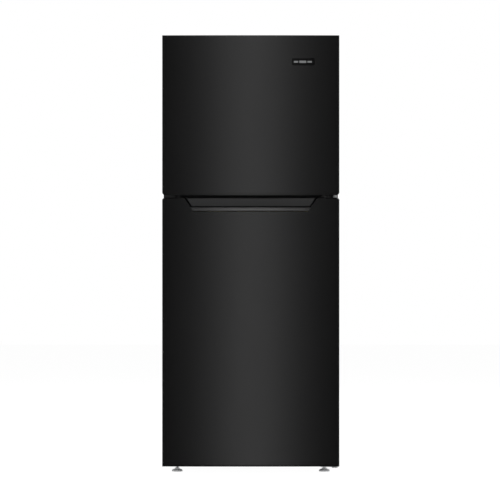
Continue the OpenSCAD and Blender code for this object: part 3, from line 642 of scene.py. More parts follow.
@dataclass
class Door:
    """The steel skin of one door; its plastic parts, seal and shelves are built as other pieces."""

    body: str
    skin_node: str
    crown: float = 5.0 * MM
    roll: float = 3.2 * MM
    end_roll: float = 0.9 * MM
    sheet: float = 1.2 * MM
    corner: float = 10.0 * MM
    split_at_top: bool = True
    notch_half: float = 0.0
    notch_depth: float = 0.0
    notch_slope: float = 0.71
    rim: float = 10.0 * MM
    recess: float = 0.0
    corner_step: float = 4.0 * MM
    margin: float = 3.0 * MM
    fold: float = 1.5 * MM
    least_step: float = 0.15 * MM
    slack: float = 0.01 * MM
    low: Vector = field(init=False)
    high: Vector = field(init=False)

    def __post_init__(self) -> None:
        """Takes the skin's place from the frame."""
        self.low, self.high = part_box(self.skin_node)

    def face_y(self, x: float) -> float:
        """Depth of the crowned face at x."""
        return self.low.y + self.crown * (x / self.high.x) ** 2

    @staticmethod
    def rolled_off(edge: float, radius: float) -> float:
        """How far a rounded edge falls back at a distance from it."""
        past = min(radius, max(0.0, radius - edge))
        return radius - math.sqrt(radius ** 2 - past ** 2)

    def ends(self, x: float) -> Pair:
        """Lowest and highest point of the skin at x, with its round corners and notch."""
        low, high = self.low.z, self.high.z
        past = max(0.0, abs(x) - (self.high.x - self.corner))
        drop = self.corner - math.sqrt(max(0.0, self.corner ** 2 - past ** 2))
        if self.split_at_top:
            high -= max(0.0, drop - self.corner_step)
        else:
            low += max(0.0, drop - self.corner_step)
        if self.notch_half and abs(x) < self.notch_half:
            high = min(high, max(self.high.z - (self.notch_half - abs(x)) / self.notch_slope,
                                 self.high.z - self.notch_depth))
        return low, high

    def columns(self) -> list[float]:
        """Places across the face, closer at the edges, corners and notch."""
        side = self.high.x
        halves = [side - self.roll * (1 - math.sin(math.radians(a))) for a in (0, 30, 60, 80, 90)]
        halves += spread(side - self.corner, side - 1.2 * self.roll, 6) + spread(0.0, side - self.corner, 34)
        if self.notch_half:
            inner = self.notch_half - self.notch_depth * self.notch_slope
            halves += [self.notch_half, inner] + spread(inner, self.notch_half, 8)
        kept: list[float] = []
        for x in sorted(set(round(h, 6) for h in halves)):
            if not kept or x - kept[-1] > self.least_step:
                kept.append(x)
        return [-x for x in reversed(kept) if x > 0] + kept

    def skin_piece(self, finish: Finish, name: str) -> bpy.types.Object:
        """The crowned steel panel with rolled edges and folded sides.

        Args:
            finish: its paint.
            name: the piece's name.

        Returns:
            The piece, riding on the door.
        """
        mesh = Mesh()
        steps = [self.end_roll * (1 - math.sin(math.radians(a))) for a in (90, 75, 55, 30, 0)]
        rows = []
        for x in self.columns():
            low, high = self.ends(x)
            zs = [low + d for d in steps] + spread(low + self.margin, high - self.margin, 12)
            zs += [high - d for d in reversed(steps)]
            if self.recess:
                zs = sorted(zs + [self.high.z - self.recess])
            face = self.face_y(x) + self.rolled_off(self.high.x - abs(x), self.roll)
            rolled_top = math.inf if abs(x) < self.notch_half else high
            rows.append(mesh.ring((x, face + self.rolled_off(min(z - low, rolled_top - z), self.end_roll), z)
                                  for z in zs))
        mesh.skin(rows, closed=False)
        for index in (0, -1):
            edge = rows[index]
            near = mesh.ring((v.co.x, self.low.y + self.rim, v.co.z) for v in edge)
            mesh.skin([edge, near], closed=False)
            deep = [i for i, v in enumerate(edge) if v.co.z <= self.high.z - self.recess + self.slack]
            far = mesh.ring((edge[i].co.x, self.high.y, edge[i].co.z) for i in deep)
            mesh.skin([[near[i] for i in deep], far], closed=False)
        for end in (0, -1):
            lip = [row[end] for row in rows]
            back = mesh.ring((v.co.x, v.co.y + self.fold, v.co.z) for v in lip)
            mesh.skin([lip, back], closed=False)
        piece = mesh.finish(name, finish, 50.0)
        modify(piece, "SOLIDIFY", thickness=self.sheet, offset=-1.0, use_even_offset=True)
        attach(piece, self.body)
        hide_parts(self.skin_node)
        return piece


@dataclass
class Seal:
    """A door seal: a bellows strip with a magnet tube, run round the door."""

    body: str
    node: str
    width: float = 16.0 * MM

    def build(self, name: str) -> bpy.types.Object:
        """Runs the strip's section round the door's opening."""
        low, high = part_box(self.node)
        depth = high.y - low.y
        section = [(0.0, 0.0), (0.02, 0.12), (0.16, 0.2), (0.05, 0.3), (0.2, 0.42), (0.06, 0.55), (0.02, 0.7),
                   (0.0, 0.8), (0.03, 0.95), (0.12, 1.0), (0.82, 1.0), (0.95, 0.94), (1.0, 0.8), (0.96, 0.66),
                   (0.78, 0.58), (0.92, 0.44), (0.78, 0.3), (0.95, 0.18), (1.0, 0.0)]
        mesh = Mesh()
        rows = []
        for u, v in section:
            inset = u * self.width
            y = low.y + v * depth
            rows.append(mesh.ring([(low.x + inset, y, low.z + inset), (high.x - inset, y, low.z + inset),
                                   (high.x - inset, y, high.z - inset), (low.x + inset, y, high.z - inset)]))
        mesh.skin(rows + [rows[0]])
        piece = mesh.finish(name, SEAL, 70.0)
        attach(piece, self.body)
        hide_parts(self.node)
        return piece


@dataclass
class PocketHandle:
    """The scooped grip in the top edge of the lower door, with its rolled lip."""

    node: str = "fridge_door_top_cap"
    body: str = "fridge_door"
    mouth: float = 29.4 * MM
    depth: float = 34.0 * MM
    lip_h: float = 17.0 * MM
    half: float = 226.8 * MM
    slope: float = 0.71
    taper: float = 7.0 * MM
    crown: float = 5.0 * MM
    corner: float = 10.0 * MM
    plate: float = 4.0 * MM
    wall_round: float = 7.0 * MM
    wall_lean: float = 1.0 * MM
    lip_round: float = 4.0 * MM
    lip_foot: float = 15.0 * MM
    lip_front: float = 13.0 * MM
    foot_rise: float = 3.0 * MM
    sheet: float = 1.0 * MM
    ease: float = 0.3 * MM
    low: Vector = field(init=False)
    high: Vector = field(init=False)

    def __post_init__(self) -> None:
        """Takes the cap's place from the frame."""
        self.low, self.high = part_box(self.node)

    def bulge(self, x: float) -> float:
        """How far the crowned face falls back at x."""
        return self.crown * (x / self.high.x) ** 2

    def section(self) -> list[Point]:
        """The scoop's outline from its back rim to the lip's foot.

        Returns:
            Depth behind the face, height, and how far each point follows the face's crown.
        """
        top = self.high.z
        lip_top = top - self.mouth
        floor = lip_top - self.lip_h + self.foot_rise
        wall = [(self.depth + back * MM, top - down * MM) for back, down in
                ((1.0, 0.0), (0.3, 0.25), (0.0, 0.9), (-0.2, 3.0), (-0.5, 10.0), (-0.8, 20.0), (-1.0, 30.0))]
        centre = (self.depth - self.wall_lean - self.wall_round, floor + self.wall_round)
        wall += arc(centre, self.wall_round, 0, -90, 5)
        foot = arc((self.lip_foot, floor + self.lip_round), self.lip_round, -90, -180, 4)
        lip = [(back * MM, lip_top - down * MM) for back, down in
               ((10.8, 6.0), (10.4, 3.6), (9.6, 1.8), (8.2, 0.5), (6.5, 0.0), (5.2, 0.15), (4.1, 0.7),
                (3.4, 1.5), (2.85, 2.8), (2.3, 5.0), (1.75, 7.8), (1.22, 10.6), (0.76, 13.2), (0.4, 15.3),
                (0.12, 17.0))]
        return [(back, z, 0.0) for back, z in wall] + [(back, z, 1.0) for back, z in foot + lip]

    def build(self) -> list[bpy.types.Object]:
        """The scoop with its end walls, and the plate across the door's top.

        Returns:
            The pieces, riding on the door.
        """
        mesh = Mesh()
        stations = [math.sin(0.5 * math.pi * t) for t in spread(-1.0, 1.0, 40)]
        rows = []
        for back, z, crowned in self.section():
            half = self.half - self.slope * (self.high.z - z) - self.taper * back / self.depth
            rows.append(mesh.ring((s * half, self.low.y + back + crowned * self.bulge(s * half), z)
                                  for s in stations))
        mesh.skin(rows, closed=False)
        for index in (0, -1):
            edge = [row[index] for row in rows]
            corner = self.half if index else -self.half
            front = mesh.ring([(corner, self.low.y + self.bulge(corner) + 0.4 * MM, self.high.z)])[0]
            for first, second in zip(edge, edge[1:]):
                mesh.bm.faces.new((first, second, front))
        lip_back = self.low.y + self.lip_front + self.crown
        for face in mesh.bm.faces:
            face.material_index = int(all(v.co.y < lip_back for v in face.verts) and len(face.verts) == 4)
        scoop = mesh.finish("pocket_grip", HANDLE_BLACK, 38.0)
        scoop.data.materials.append(LIP_BLACK.material())
        modify(scoop, "SOLIDIFY", thickness=self.sheet, offset=-1.0)
        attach(scoop, self.body)
        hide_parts(self.node)
        return [scoop, self.plate_piece()]

    def plate_piece(self) -> bpy.types.Object:
        """The flat plate that closes the top of the door, cut back round the scoop."""
        side = self.high.x
        z = self.high.z
        back_y = self.high.y
        mesh = Mesh()
        ends = {sign * (self.half + past) for sign in (-1, 1) for past in (0.0, self.ease)}
        xs = sorted(set(spread(-side, side, 60)) | ends)
        rows = []
        for x in xs:
            inside = abs(x) <= self.half + 1e-9
            front = self.low.y + (self.depth + self.sheet if inside else self.bulge(x) + 0.1 * MM)
            past = max(0.0, abs(x) - (side - self.corner))
            drop = min(self.plate * 0.96, self.corner - math.sqrt(max(0.0, self.corner ** 2 - past ** 2)))
            top, low = z - drop, z - self.plate
            rise = top - low
            soft = 0.3 if inside else 1.0
            nose = [(front + fall * soft * MM, low + part * rise)
                    for fall, part in ((0.15, 0.5), (0.6, 0.78), (1.4, 0.94), (2.6, 1.0))]
            outline = [(front + self.ease, low), (front, low + 0.15 * rise), *nose,
                       (back_y - 0.8 * MM, top), (back_y, low)]
            rows.append(mesh.ring((x, y, z) for y, z in outline))
        mesh.skin(rows)
        mesh.cap(list(reversed(rows[0])))
        mesh.cap(rows[-1])
        plate = mesh.finish("fridge_door_top_plate", TRIM_BLACK, 35.0)
        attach(plate, self.body)
        return plate


@dataclass
class Badge:
    """A small gloss plate with three plain silver bars."""

    node: str = "door_badge"
    body: str = "freezer_door"
    corner: float = 4.5 * MM
    bar_depth: float = 0.4 * MM
    bar_ease: float = 0.12 * MM
    bar_corner: float = 1.2 * MM

    def build(self) -> list[bpy.types.Object]:
        """The plate and its bars."""
        low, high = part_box(self.node)
        half_x, half_z = (high.x - low.x) / 2, (high.z - low.z) / 2
        mid_x, mid_z = (high.x + low.x) / 2, (high.z + low.z) / 2
        plate = Mesh()
        levels = [(0.0, high.y), (0.0, low.y + 0.6 * MM), (0.12 * MM, low.y + 0.35 * MM),
                  (0.45 * MM, low.y + 0.25 * MM)]
        loops = []
        for inset, y in levels:
            outline = rounded(half_x - inset, half_z - inset, self.corner, 6)
            loops.append([(mid_x + x, y, mid_z + z) for x, z in outline])
        plate.loft(loops)
        bars = Mesh()
        for start, stop, tall in ((-0.84, -0.46, 3.0 * MM), (-0.36, 0.26, 3.9 * MM), (0.36, 0.76, 3.0 * MM)):
            bars.block((mid_x + start * half_x, low.y, mid_z - tall),
                       (mid_x + stop * half_x, low.y + self.bar_depth, mid_z + tall),
                       self.bar_ease, self.bar_corner, Axis.Y)
        pieces = [plate.finish("badge_plate", BADGE_BLACK, 30.0),
                  bars.finish("badge_bars", BADGE_SILVER, 30.0)]
        for piece in pieces:
            modify(piece, "WEIGHTED_NORMAL", keep_sharp=True, weight=100)
            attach(piece, self.body)
        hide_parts(self.node)
        return pieces


@dataclass
class MiddleHinge:
    """The painted plate between the doors, its pin and the nylon sleeve round it."""

    node: str = "middle_hinge_bracket"
    plate: float = 3.6 * MM
    arm: float = 10.0 * MM
    leg: float = 3.0 * MM
    leg_half: float = 10.0 * MM
    pin_r: float = 5.0 * MM
    pin_tip: float = 1.0 * MM
    pin_chamfer: float = 1.5 * MM
    spacer_r: float = 6.2 * MM
    spacer_part: float = 0.94
    ease: float = 0.5 * MM

    def build(self) -> list[bpy.types.Object]:
        """The plate and the pin with its sleeve."""
        low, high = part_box(self.node)
        x, y, z = high.x - self.arm, low.y + self.arm, (low.z + high.z) / 2
        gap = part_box("freezer_door_bottom_cap")[0].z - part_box("fridge_door_top_cap")[1].z
        steel = Mesh()
        nose = self.spacer_r - 0.4 * MM
        under, over = z - self.plate / 2, z + self.plate / 2
        right = x + 0.6 * self.arm
        steel.block((x - nose, y - nose, under), (x + nose, high.y, over), self.ease, 0.9 * nose)
        steel.block((x - self.arm, y, under), (right, high.y, over), self.ease)
        steel.block((low.x, high.y - self.leg, z - self.leg_half), (right, high.y, z + self.leg_half),
                    self.ease, 2 * MM)
        pin = Mesh()
        rise, reach = high.z - z, 0.5 * self.spacer_part * gap
        half = [(self.spacer_r, reach - 0.3 * MM), (self.spacer_r - 0.3 * MM, reach), (self.pin_r, reach),
                (self.pin_r, rise - self.pin_chamfer), (self.pin_r - self.pin_tip, rise),
                (self.pin_tip, rise)]
        pin.lathe((x, y, z), Axis.Z, [(r, -h) for r, h in reversed(half)] + half, 32)
        pieces = [steel.finish("middle_hinge_plate", TRIM_BLACK, 35.0),
                  pin.finish("middle_hinge_pin", NYLON, 35.0)]
        for piece in pieces:
            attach(piece, "cabinet")
        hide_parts(self.node)
        return pieces


# ---------------------------------------------------------------- moulded parts


def islands(node: str) -> list[tuple[Vector, Vector]]:
    """Lowest and highest corner of each separate solid of a node, from the lowest up."""
    source = bmesh.new()
    source.from_mesh(NODES[node].data)
    bmesh.ops.remove_doubles(source, verts=source.verts, dist=0.01 * MM)
    left = set(source.verts)
    found = []
    while left:
        front = [left.pop()]
        group = list(front)
        while front:
            vert = front.pop()
            for edge in vert.link_edges:
                other = edge.other_vert(vert)
                if other in left:
                    left.discard(other)
                    front.append(other)
                    group.append(other)
        found.append((Vector(min(v.co[i] for v in group) for i in range(3)),
                      Vector(max(v.co[i] for v in group) for i in range(3))))
    source.free()
    return sorted(found, key=lambda pair: (round(pair[0].z, 4), round(pair[0].x, 4)))


@dataclass
class Tray:
    """Open moulded trays with round corners, a rolled rim and a draft."""

    node: str
    body: str
    finish: Finish
    wall: float = 2.4 * MM
    corner: float = 16.0 * MM
    draft: float = 2.5 * MM
    rim: float = 2.2 * MM
    foot: float = 5.0 * MM
    ribs: int = 0
    rib_half: float = 1.2 * MM
    rib_h: float = 2.2 * MM

    def levels(self, height: float) -> list[Pair]:
        """Inset and height round the tray's section, outside up and inside down."""
        foot = self.foot
        outside = [(self.draft + foot * (1 - math.sin(a)), foot * (1 - math.cos(a)))
                   for a in spread(0.0, 0.5 * math.pi, 4)]
        outside += [(self.draft * (1 - t), foot + t * (height - foot - 4 * MM)) for t in spread(0.2, 1.0, 4)]
        outside[-1] = (self.rim * 0.5, height - 5 * MM)
        rim = [(0.0, height - 4.4 * MM), (0.0, height - 0.8 * MM), (0.8 * MM, height),
               (self.rim + self.wall - 0.8 * MM, height), (self.rim + self.wall, height - 0.9 * MM)]
        inside = [(self.rim + self.wall + self.draft * t, height - t * (height - self.wall - foot))
                  for t in spread(0.2, 1.0, 4)]
        inside += [(self.rim + self.wall + self.draft + foot * (1 - math.cos(a)),
                    self.wall + foot * (1 - math.sin(a))) for a in spread(0.3, 0.5 * math.pi, 3)]
        return outside + rim + inside

    def add(self, mesh: Mesh, low: Vector, high: Vector) -> None:
        """Adds one tray that fills a box."""
        mid = (low + high) / 2
        half = (high - low) / 2
        loops = []
        for inset, z in self.levels(high.z - low.z):
            radius = max(self.corner - inset, 3 * MM)
            loops.append([(mid.x + x, mid.y + y, low.z + z)
                          for x, y in rounded(half.x - inset, half.y - inset, radius, 6)])
        mesh.loft(loops)
        for i in range(self.ribs):
            x = mid.x + (i - (self.ribs - 1) / 2) * 2 * (half.x - 3 * self.corner) / max(1, self.ribs - 1)
            mesh.block((x - self.rib_half, low.y + self.wall + 4.5 * MM, low.z + self.wall),
                       (x + self.rib_half, high.y - self.wall - 6 * MM, low.z + self.wall + self.rib_h))

    def build(self, name: str) -> bpy.types.Object:
        """All the trays of the node as one piece."""
        mesh = Mesh()
        for low, high in islands(self.node):
            self.add(mesh, low, high)
        piece = mesh.finish(name, self.finish, 45.0)
        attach(piece, self.body)
        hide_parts(self.node)
        return piece


@dataclass
class Drawer(Tray):
    """The crisper drawer: a tray with a grip ridge and a vent slot in its front."""

    grip_part: float = 0.6
    grip_out: float = 9.0 * MM
    slot_half: float = 38.0 * MM
    slot_edge: float = 1.5 * MM

    def build(self, name: str) -> bpy.types.Object:
        """The drawer as one piece."""
        low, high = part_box(self.node)
        body_low = Vector((low.x, low.y + self.grip_out, low.z))
        mesh = Mesh()
        self.add(mesh, body_low, high)
        half = self.grip_part * high.x
        front = body_low.y
        profile = [(1.0, -2.0), (-5.0, -2.2), (-8.4, -3.2), (-9.0, -6.0), (-9.0, -15.0),
                   (-7.8, -16.0), (-6.8, -15.0), (-6.4, -6.4), (-4.6, -5.0), (1.0, -4.8)]
        rows = [mesh.ring((x, front + y * MM, high.z + z * MM) for y, z in profile)
                for x in (-half, -half + 1 * MM, 0.0, half - 1 * MM, half)]
        mesh.skin(rows)
        mesh.cap(list(reversed(rows[0])))
        mesh.cap(rows[-1])
        slider_low, slider_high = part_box("humidity_slider")
        slot_z = (slider_low.z + slider_high.z) / 2
        for z in (slot_z - 6.5 * MM, slot_z + 5 * MM):
            mesh.block((-self.slot_half, front - 1.2 * MM, z),
                       (self.slot_half, front + 1 * MM, z + self.slot_edge), 0.5 * MM)
        piece = mesh.finish(name, self.finish, 45.0)
        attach(piece, self.body)
        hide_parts(self.node)
        return piece


@dataclass
class BackPanel:
    """The rear sheet with pressed ribs and a folded edge."""

    node: str = "back_panel"
    press: float = 0.9 * MM
    rib_w: float = 26.0 * MM
    edge: float = 34.0 * MM
    border: float = 0.11
    ramp: float = 6.0 * MM
    fold: float = 14.0 * MM
    fold_ramp: float = 4.0 * MM
    skin: float = 0.25 * MM

    def depth(self, x: float, z: float, low: Vector, high: Vector) -> float:
        """How far the sheet is pressed in at a point."""
        pitch = (high.x - low.x - 2 * self.edge) / 4
        from_centre = abs(x) % pitch
        across = min(from_centre, pitch - from_centre)
        along = min(z - low.z, high.z - z) - 2 * self.edge
        inside = min(self.rib_w / 2 - across, along)
        rise = min(1.0, max(0.0, inside / self.ramp))
        frame_in = min(high.x - abs(x), z - low.z, high.z - z)
        step = min(1.0, max(0.0, (frame_in - self.fold) / self.fold_ramp))
        return self.press * (0.35 * step + 0.65 * rise * rise * (3 - 2 * rise))

    def build(self) -> bpy.types.Object:
        """The pressed sheet."""
        low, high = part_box(self.node)
        xs = spread(low.x, high.x, 190)
        inner = self.border + 0.01
        zs = spread(low.z, low.z + self.border, 30) + spread(low.z + inner, high.z - inner, 30)
        zs += spread(high.z - self.border, high.z, 30)
        mesh = Mesh()
        rows = [mesh.ring((x, high.y - self.depth(x, z, low, high), z) for x in xs) for z in zs]
        mesh.skin(rows, closed=False)
        piece = mesh.finish("rear_sheet", BACK_STEEL, 60.0)
        modify(piece, "SOLIDIFY", thickness=self.skin, offset=-1.0)
        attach(piece, "cabinet")
        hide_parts(self.node)
        return piece


@dataclass
class MachineBay:
    """Compressor, its pipes, the dryer and the drain pan."""

    seam: float = 2.5 * MM
    plate: float = 3.0 * MM
    plate_half: float = 52.0 * MM
    bend: float = 16.0 * MM
    neck_part: float = 0.36
    bead: float = 0.9 * MM

    def compressor(self) -> bpy.types.Object:
        """Drawn steel shell in two halves with a weld flange and feet."""
        low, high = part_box("compressor")
        mid = (low + high) / 2
        radius = (high.y - low.y) / 2 - self.seam
        height = high.z - low.z - self.plate
        waist = 0.48 * height + 1 * MM
        profile = [(0.05 * radius, 0.2 * MM), (0.55 * radius, 0.2 * MM)]
        profile += arc((0.68 * radius, 0.34 * radius), 0.31 * radius, -80, 0, 7)
        profile += [(radius * 0.995, waist - 5 * MM), (radius, waist - 3 * MM),
                    (radius + self.seam, waist - 2.4 * MM), (radius + self.seam, waist + 2.0 * MM),
                    (radius, waist + 2.6 * MM)]
        profile += arc((0.55 * radius, height - 0.46 * radius), 0.45 * radius, 0, 84, 10)
        profile += [(0.3 * radius, height - 0.3 * MM), (0.05 * radius, height)]
        mesh = Mesh()
        mesh.lathe((mid.x, mid.y, low.z + self.plate), Axis.Z, profile, 72)
        reach = self.plate_half
        mesh.block((low.x, mid.y - reach, low.z), (high.x, mid.y + reach, low.z + self.plate),
                   0.7 * MM, 14 * MM)
        for side in (-1, 1):
            flange = mid.y + side * (reach - 1 * MM)
            mesh.block((mid.x - 40 * MM, flange - 1.2 * MM, low.z),
                       (mid.x + 40 * MM, flange + 1.2 * MM, low.z + 9 * MM), 0.6 * MM)
        piece = mesh.finish("compressor_shell", ENAMEL, 35.0)
        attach(piece, "cabinet")
        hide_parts("compressor")
        return piece

    def pipes(self) -> bpy.types.Object:
        """Suction, discharge, dryer, capillary and charging tubes with round bends."""
        low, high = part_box("compressor")
        mid = (low + high) / 2
        side = mid.x + (high.y - low.y) / 2 - self.seam
        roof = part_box("base_pan")[1].z - 8 * MM
        half_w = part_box("cabinet_wrapper")[1].x
        dryer_low, dryer_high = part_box("filter_dryer")
        dryer = (dryer_low + dryer_high) / 2
        front, back = dryer_low.y, dryer_high.y
        suction, discharge, low_z = side + 26 * MM, side + 40 * MM, low.z + 30 * MM
        stub, stub_x = mid.y + 92 * MM, mid.x - 30 * MM
        outlet, inlet = back + 12 * MM, front - 12 * MM
        routes = [
            (4.0, [(side - 2 * MM, mid.y, low.z + 90 * MM), (suction, mid.y, low.z + 90 * MM),
                   (suction, mid.y, roof), (side + 60 * MM, mid.y + 60 * MM, roof),
                   (half_w - 30 * MM, mid.y + 60 * MM, roof)]),
            (2.5, [(side - 4 * MM, mid.y + 22 * MM, low_z), (discharge, mid.y + 22 * MM, low_z),
                   (discharge, mid.y + 80 * MM, low_z), (half_w - 20 * MM, mid.y + 80 * MM, low_z),
                   (half_w - 20 * MM, mid.y + 80 * MM, roof - 30 * MM)]),
            (2.5, [(dryer.x, back - 1 * MM, dryer.z), (dryer.x, outlet, dryer.z), (dryer.x, outlet, roof)]),
            (1.5, [(dryer.x, front + 1 * MM, dryer.z), (dryer.x, inlet, dryer.z), (dryer.x, inlet, roof),
                   (dryer.x + 60 * MM, inlet, roof)]),
            (3.0, [(stub_x, mid.y + 66 * MM, low_z), (stub_x, stub, low_z), (stub_x, stub, low.z + 62 * MM)])]
        mesh = Mesh()
        for radius, points in routes:
            mesh.tube(bezier_path(points, self.bend), radius * MM)
        piece = mesh.finish("copper_tubes", COPPER, 60.0)
        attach(piece, "cabinet")
        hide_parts("refrigerant_pipes")
        return piece

    def dryer(self) -> bpy.types.Object:
        """Spun copper dryer with swaged necks and two rolled beads."""
        low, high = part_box("filter_dryer")
        mid = (low + high) / 2
        radius, length = (high.x - low.x) / 2, high.y - low.y
        neck = self.neck_part * radius
        profile = [(neck, 0.0), (neck, 3 * MM)]
        for t in spread(0.0, 1.0, 5):
            profile.append((neck + (radius - neck) * (0.5 - 0.5 * math.cos(math.pi * t)), (3 + 10 * t) * MM))
        for place in (0.3, 0.7):
            profile += [(radius - sunk, place * length + along * MM)
                        for sunk, along in ((0.0, -3), (self.bead, -1), (self.bead, 1), (0.0, 3))]
        profile += [(r, length - h) for r, h in reversed(profile[:8])]
        mesh = Mesh()
        mesh.lathe((mid.x, low.y, mid.z), Axis.Y, profile, 32)
        piece = mesh.finish("dryer_can", COPPER, 50.0)
        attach(piece, "cabinet")
        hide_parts("filter_dryer")
        return piece

    def build(self) -> list[bpy.types.Object]:
        """Every piece of the bay."""
        pan = Tray("drain_pan", "cabinet", BLACK_PLASTIC, corner=12 * MM)
        return [self.compressor(), self.pipes(), self.dryer(), pan.build("defrost_pan")]


@dataclass
class Controls:
    """Marks printed round the dials."""

    radius: float = 21.5 * MM
    ticks: int = 9
    smallest: float = 0.8 * MM
    growth: float = 0.13 * MM

    def build(self) -> list[bpy.types.Object]:
        """A ring of tick marks behind each dial, longer towards cold."""
        pieces = []
        for node, behind, body in (("temperature_dial", "control_box", "cabinet"),
                                   ("freezer_dial", "evaporator_cover", "cabinet")):
            low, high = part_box(node)
            mid = (low + high) / 2
            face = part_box(behind)[0].y
            mesh = Mesh()
            for i in range(self.ticks):
                angle = math.radians(225 - 270 * i / (self.ticks - 1))
                size = self.smallest + self.growth * i
                x, z = mid.x + self.radius * math.cos(angle), mid.z + self.radius * math.sin(angle)
                mesh.block((x - size, face - 0.12 * MM, z - size), (x + size, face + 0.1 * MM, z + size),
                           0.05 * MM, 0.9 * size, Axis.Y)
            piece = mesh.finish(node + "_marks", MARK_GREY)
            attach(piece, body)
            pieces.append(piece)
        return pieces


SHARP = math.radians(38)


class Kept(Enum):
    """How the corners of a carried-over solid are eased: bevel width in millimetres and rounds."""

    SHEET = (0.5, 2)
    MOULDED = (1.1, 3)
    SOFT = (1.8, 4)
    ROUND = (0.35, 2)
    PLAIN = (0.0, 0)


@dataclass(frozen=True)
class Dressing:
    """The finish and corner of some carried-over nodes."""

    finish: Finish
    corner: Kept
    nodes: tuple[str, ...]

    def dress(self, node: str) -> None:
        """Gives a carried-over node its finish and eased corners."""
        piece = NODES[node]
        piece.data.materials.clear()
        piece.data.materials.append(self.finish.material())
        width, rounds = self.corner.value
        if rounds:
            modify(piece, "BEVEL", width=width * MM, segments=rounds, limit_method="ANGLE",
                   angle_limit=SHARP, harden_normals=True)
        piece.data.shade_smooth()
        piece.data.set_sharp_from_angle(angle=SHARP)


DRESSINGS = (
    Dressing(CABINET_PAINT, Kept.SHEET, ("cabinet_wrapper",)),
    Dressing(MATTE_BLACK, Kept.SHEET, ("mullion_rail",)),
    Dressing(GALVANISED, Kept.SHEET, ("base_pan", "compressor_deck")),
    Dressing(GALVANISED, Kept.ROUND, ("fan_motor",)),
    Dressing(DARK_STEEL, Kept.SHEET, ("top_hinge_bracket",)),
    Dressing(DARK_STEEL, Kept.ROUND, ("hinge_screws",)),
    Dressing(PALE_GREY, Kept.SHEET, ("bottom_hinge_bracket",)),
    Dressing(PALE_GREY, Kept.ROUND, ("foot_brackets", "left_foot", "right_foot")),
    Dressing(BLACK_PLASTIC, Kept.MOULDED, ("top_hinge_cover",)),
    Dressing(BLACK_PLASTIC, Kept.ROUND, ("hinge_hole_plugs", "left_roller", "right_roller")),
    Dressing(RUBBER, Kept.ROUND, ("compressor_grommets", "cord_gland")),
    Dressing(FOAM, Kept.PLAIN, ("cabinet_foam", "freezer_door_foam", "fridge_door_foam")),
    Dressing(LINER_WHITE, Kept.MOULDED, ("freezer_liner", "fridge_liner", "evaporator_cover", "control_box",
                                         "freezer_door_liner", "fridge_door_liner")),
    Dressing(LINER_WHITE, Kept.SOFT, ("shelf_trims",)),
    Dressing(TRIM_BLACK, Kept.ROUND, ("freezer_door_top_cap", "freezer_door_bottom_cap",
                                      "fridge_door_bottom_cap")),
    Dressing(CREAM, Kept.SOFT, ("terminal_cover",)),
    Dressing(CREAM, Kept.PLAIN, ("drain_tube",)),
    Dressing(CREAM, Kept.ROUND, ("switch_housing", "switch_plunger", "fan_blade", "temperature_dial",
                                 "freezer_dial")),
    Dressing(COPPER, Kept.PLAIN, ("condenser_coil",)),
    Dressing(ALUMINIUM, Kept.PLAIN, ("evaporator",)),
    Dressing(WIRE_WHITE, Kept.ROUND, ("freezer_shelf",)),
    Dressing(GLASS, Kept.ROUND, ("shelf_glass", "crisper_cover")),
    Dressing(BULB, Kept.ROUND, ("lamp_bulb",)),
    Dressing(LENS, Kept.ROUND, ("lamp_lens",)),
    Dressing(BLUE_GREY, Kept.ROUND, ("humidity_slider",)),
)


# ---------------------------------------------------------------- studio


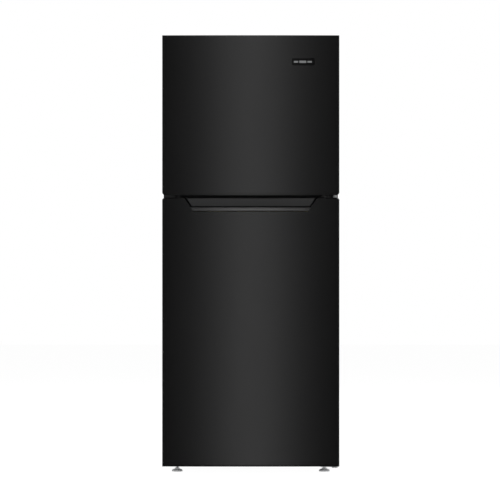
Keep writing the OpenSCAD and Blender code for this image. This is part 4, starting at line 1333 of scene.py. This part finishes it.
@dataclass
class Studio:
    """Plain floor, soft boxes and the camera."""

    distance: float = 9.0
    lens: float = 191.5
    sensor: float = 36.0
    aim: Point = (-0.0026, 0.0, 0.7581)
    middle: Point = (0.0, 0.0, 0.76)
    floor_half: float = 12.0
    floor_drop: float = 0.5 * MM

    def camera(self) -> None:
        """A long lens square to the doors."""
        data = bpy.data.cameras.new("view")
        data.type = "PERSP"
        data.sensor_width = self.sensor
        data.lens = self.lens
        data.clip_end = 100.0
        camera = bpy.data.objects.new("view", data)
        camera.location = (self.aim[0], CAD_BOX[0][1] - self.distance, self.aim[2])
        camera.rotation_euler = (math.radians(90), 0, 0)
        bpy.context.scene.collection.objects.link(camera)
        bpy.context.scene.camera = camera

    def panel(self, name: str, place: Point, size: Pair, power: float) -> None:
        """A rectangular soft box that faces the middle and that the camera can't see.

        Args:
            name: its name.
            place: where it stands.
            size: width and height.
            power: watts.
        """
        data = bpy.data.lights.new(name, "AREA")
        data.shape = "RECTANGLE"
        data.size, data.size_y = size
        data.energy = power
        box = bpy.data.objects.new(name, data)
        box.location = place
        box.rotation_euler = (Vector(self.middle) - Vector(place)).to_track_quat("-Z", "Y").to_euler()
        box.visible_camera = False
        bpy.context.scene.collection.objects.link(box)

    def world(self, seen: float, lit: float) -> None:
        """White behind the object, dim in what it reflects.

        Args:
            seen: brightness in the camera's background.
            lit: brightness as a light.
        """
        world = bpy.data.worlds.new("studio")
        world.use_nodes = True
        tree = world.node_tree
        tree.nodes.clear()
        path = tree.nodes.new("ShaderNodeLightPath")
        shades = []
        for strength in (lit, seen):
            shade = tree.nodes.new("ShaderNodeBackground")
            shade.inputs["Color"].default_value = (1.0, 1.0, 1.0, 1.0)
            shade.inputs["Strength"].default_value = strength
            shades.append(shade)
        mix = tree.nodes.new("ShaderNodeMixShader")
        output = tree.nodes.new("ShaderNodeOutputWorld")
        tree.links.new(path.outputs["Is Camera Ray"], mix.inputs[0])
        tree.links.new(shades[0].outputs[0], mix.inputs[1])
        tree.links.new(shades[1].outputs[0], mix.inputs[2])
        tree.links.new(mix.outputs[0], output.inputs["Surface"])
        bpy.context.scene.world = world

    def floor(self) -> None:
        """A wide pale floor just under the feet."""
        mesh = Mesh()
        places = spread(-self.floor_half, self.floor_half, 8)
        rows = [mesh.ring((x, y, -self.floor_drop) for x in places) for y in places]
        mesh.skin(rows, closed=False)
        floor = mesh.finish("floor", FLOOR)
        floor.visible_glossy = False
        floor.visible_diffuse = False
        floor.visible_shadow = False

    def build(self) -> None:
        """Sets the studio up."""
        bpy.context.scene.view_settings.view_transform = "Standard"
        self.camera()
        self.floor()
        self.world(seen=1.0, lit=0.012)
        self.panel("front_strip", (0.012, -10.3, 0.76), (0.7, 6.0), 88.0)
        self.panel("high_strip", (0.012, -10.3, 4.7), (0.7, 1.6), 92.0)
        self.panel("top_box", (0.0, 0.4, 4.8), (4.0, 3.0), 60.0)
        self.panel("rear_box", (0.0, 5.0, 1.8), (3.0, 3.0), 60.0)
        for name, side in (("left", -1), ("right", 1)):
            self.panel(name + "_front_box", (side * 4.2, -3.4, 0.5), (4.0, 6.0), 120.0)
            self.panel(name + "_rear_box", (side * 3.9, 2.8, 1.7), (4.0, 3.4), 60.0)


def build_doors() -> list[bpy.types.Object]:
    """Both doors with their handle, badge, seals and shelves."""
    freezer = Door("freezer_door", "freezer_door_skin", split_at_top=False, recess=19.0 * MM)
    fridge = Door("fridge_door", "fridge_door_skin", notch_half=224.2 * MM, notch_depth=44 * MM)
    pieces = [freezer.skin_piece(SATIN_DOOR, "freezer_door_panel"),
              fridge.skin_piece(SATIN_DOOR, "fridge_door_panel")]
    pieces += PocketHandle().build()
    pieces += Badge().build()
    pieces += MiddleHinge().build()
    for door in ("freezer_door", "fridge_door"):
        pieces.append(Seal(door, door + "_gasket").build(door + "_seal"))
        pieces.append(Tray(door + "_bins", door, BIN_CLEAR, ribs=5).build(door + "_shelves"))
    return pieces


def main() -> None:
    """Builds everything in order."""
    logging.basicConfig(level=logging.INFO, format="%(message)s")
    pieces = build_doors()
    pieces.append(Drawer("crisper_drawer", "crisper_drawer", BIN_CLEAR, ribs=7).build("crisper_box"))
    pieces.append(BackPanel().build())
    pieces += MachineBay().build()
    pieces += Controls().build()
    for piece in pieces:
        LOG.info("built %s, %d faces", piece.name, len(piece.data.polygons))
    for dressing in DRESSINGS:
        for node in dressing.nodes:
            dressing.dress(node)
            LOG.info("dressed %s", node)
    Studio().build()


if __name__ == "__main__":
    main()
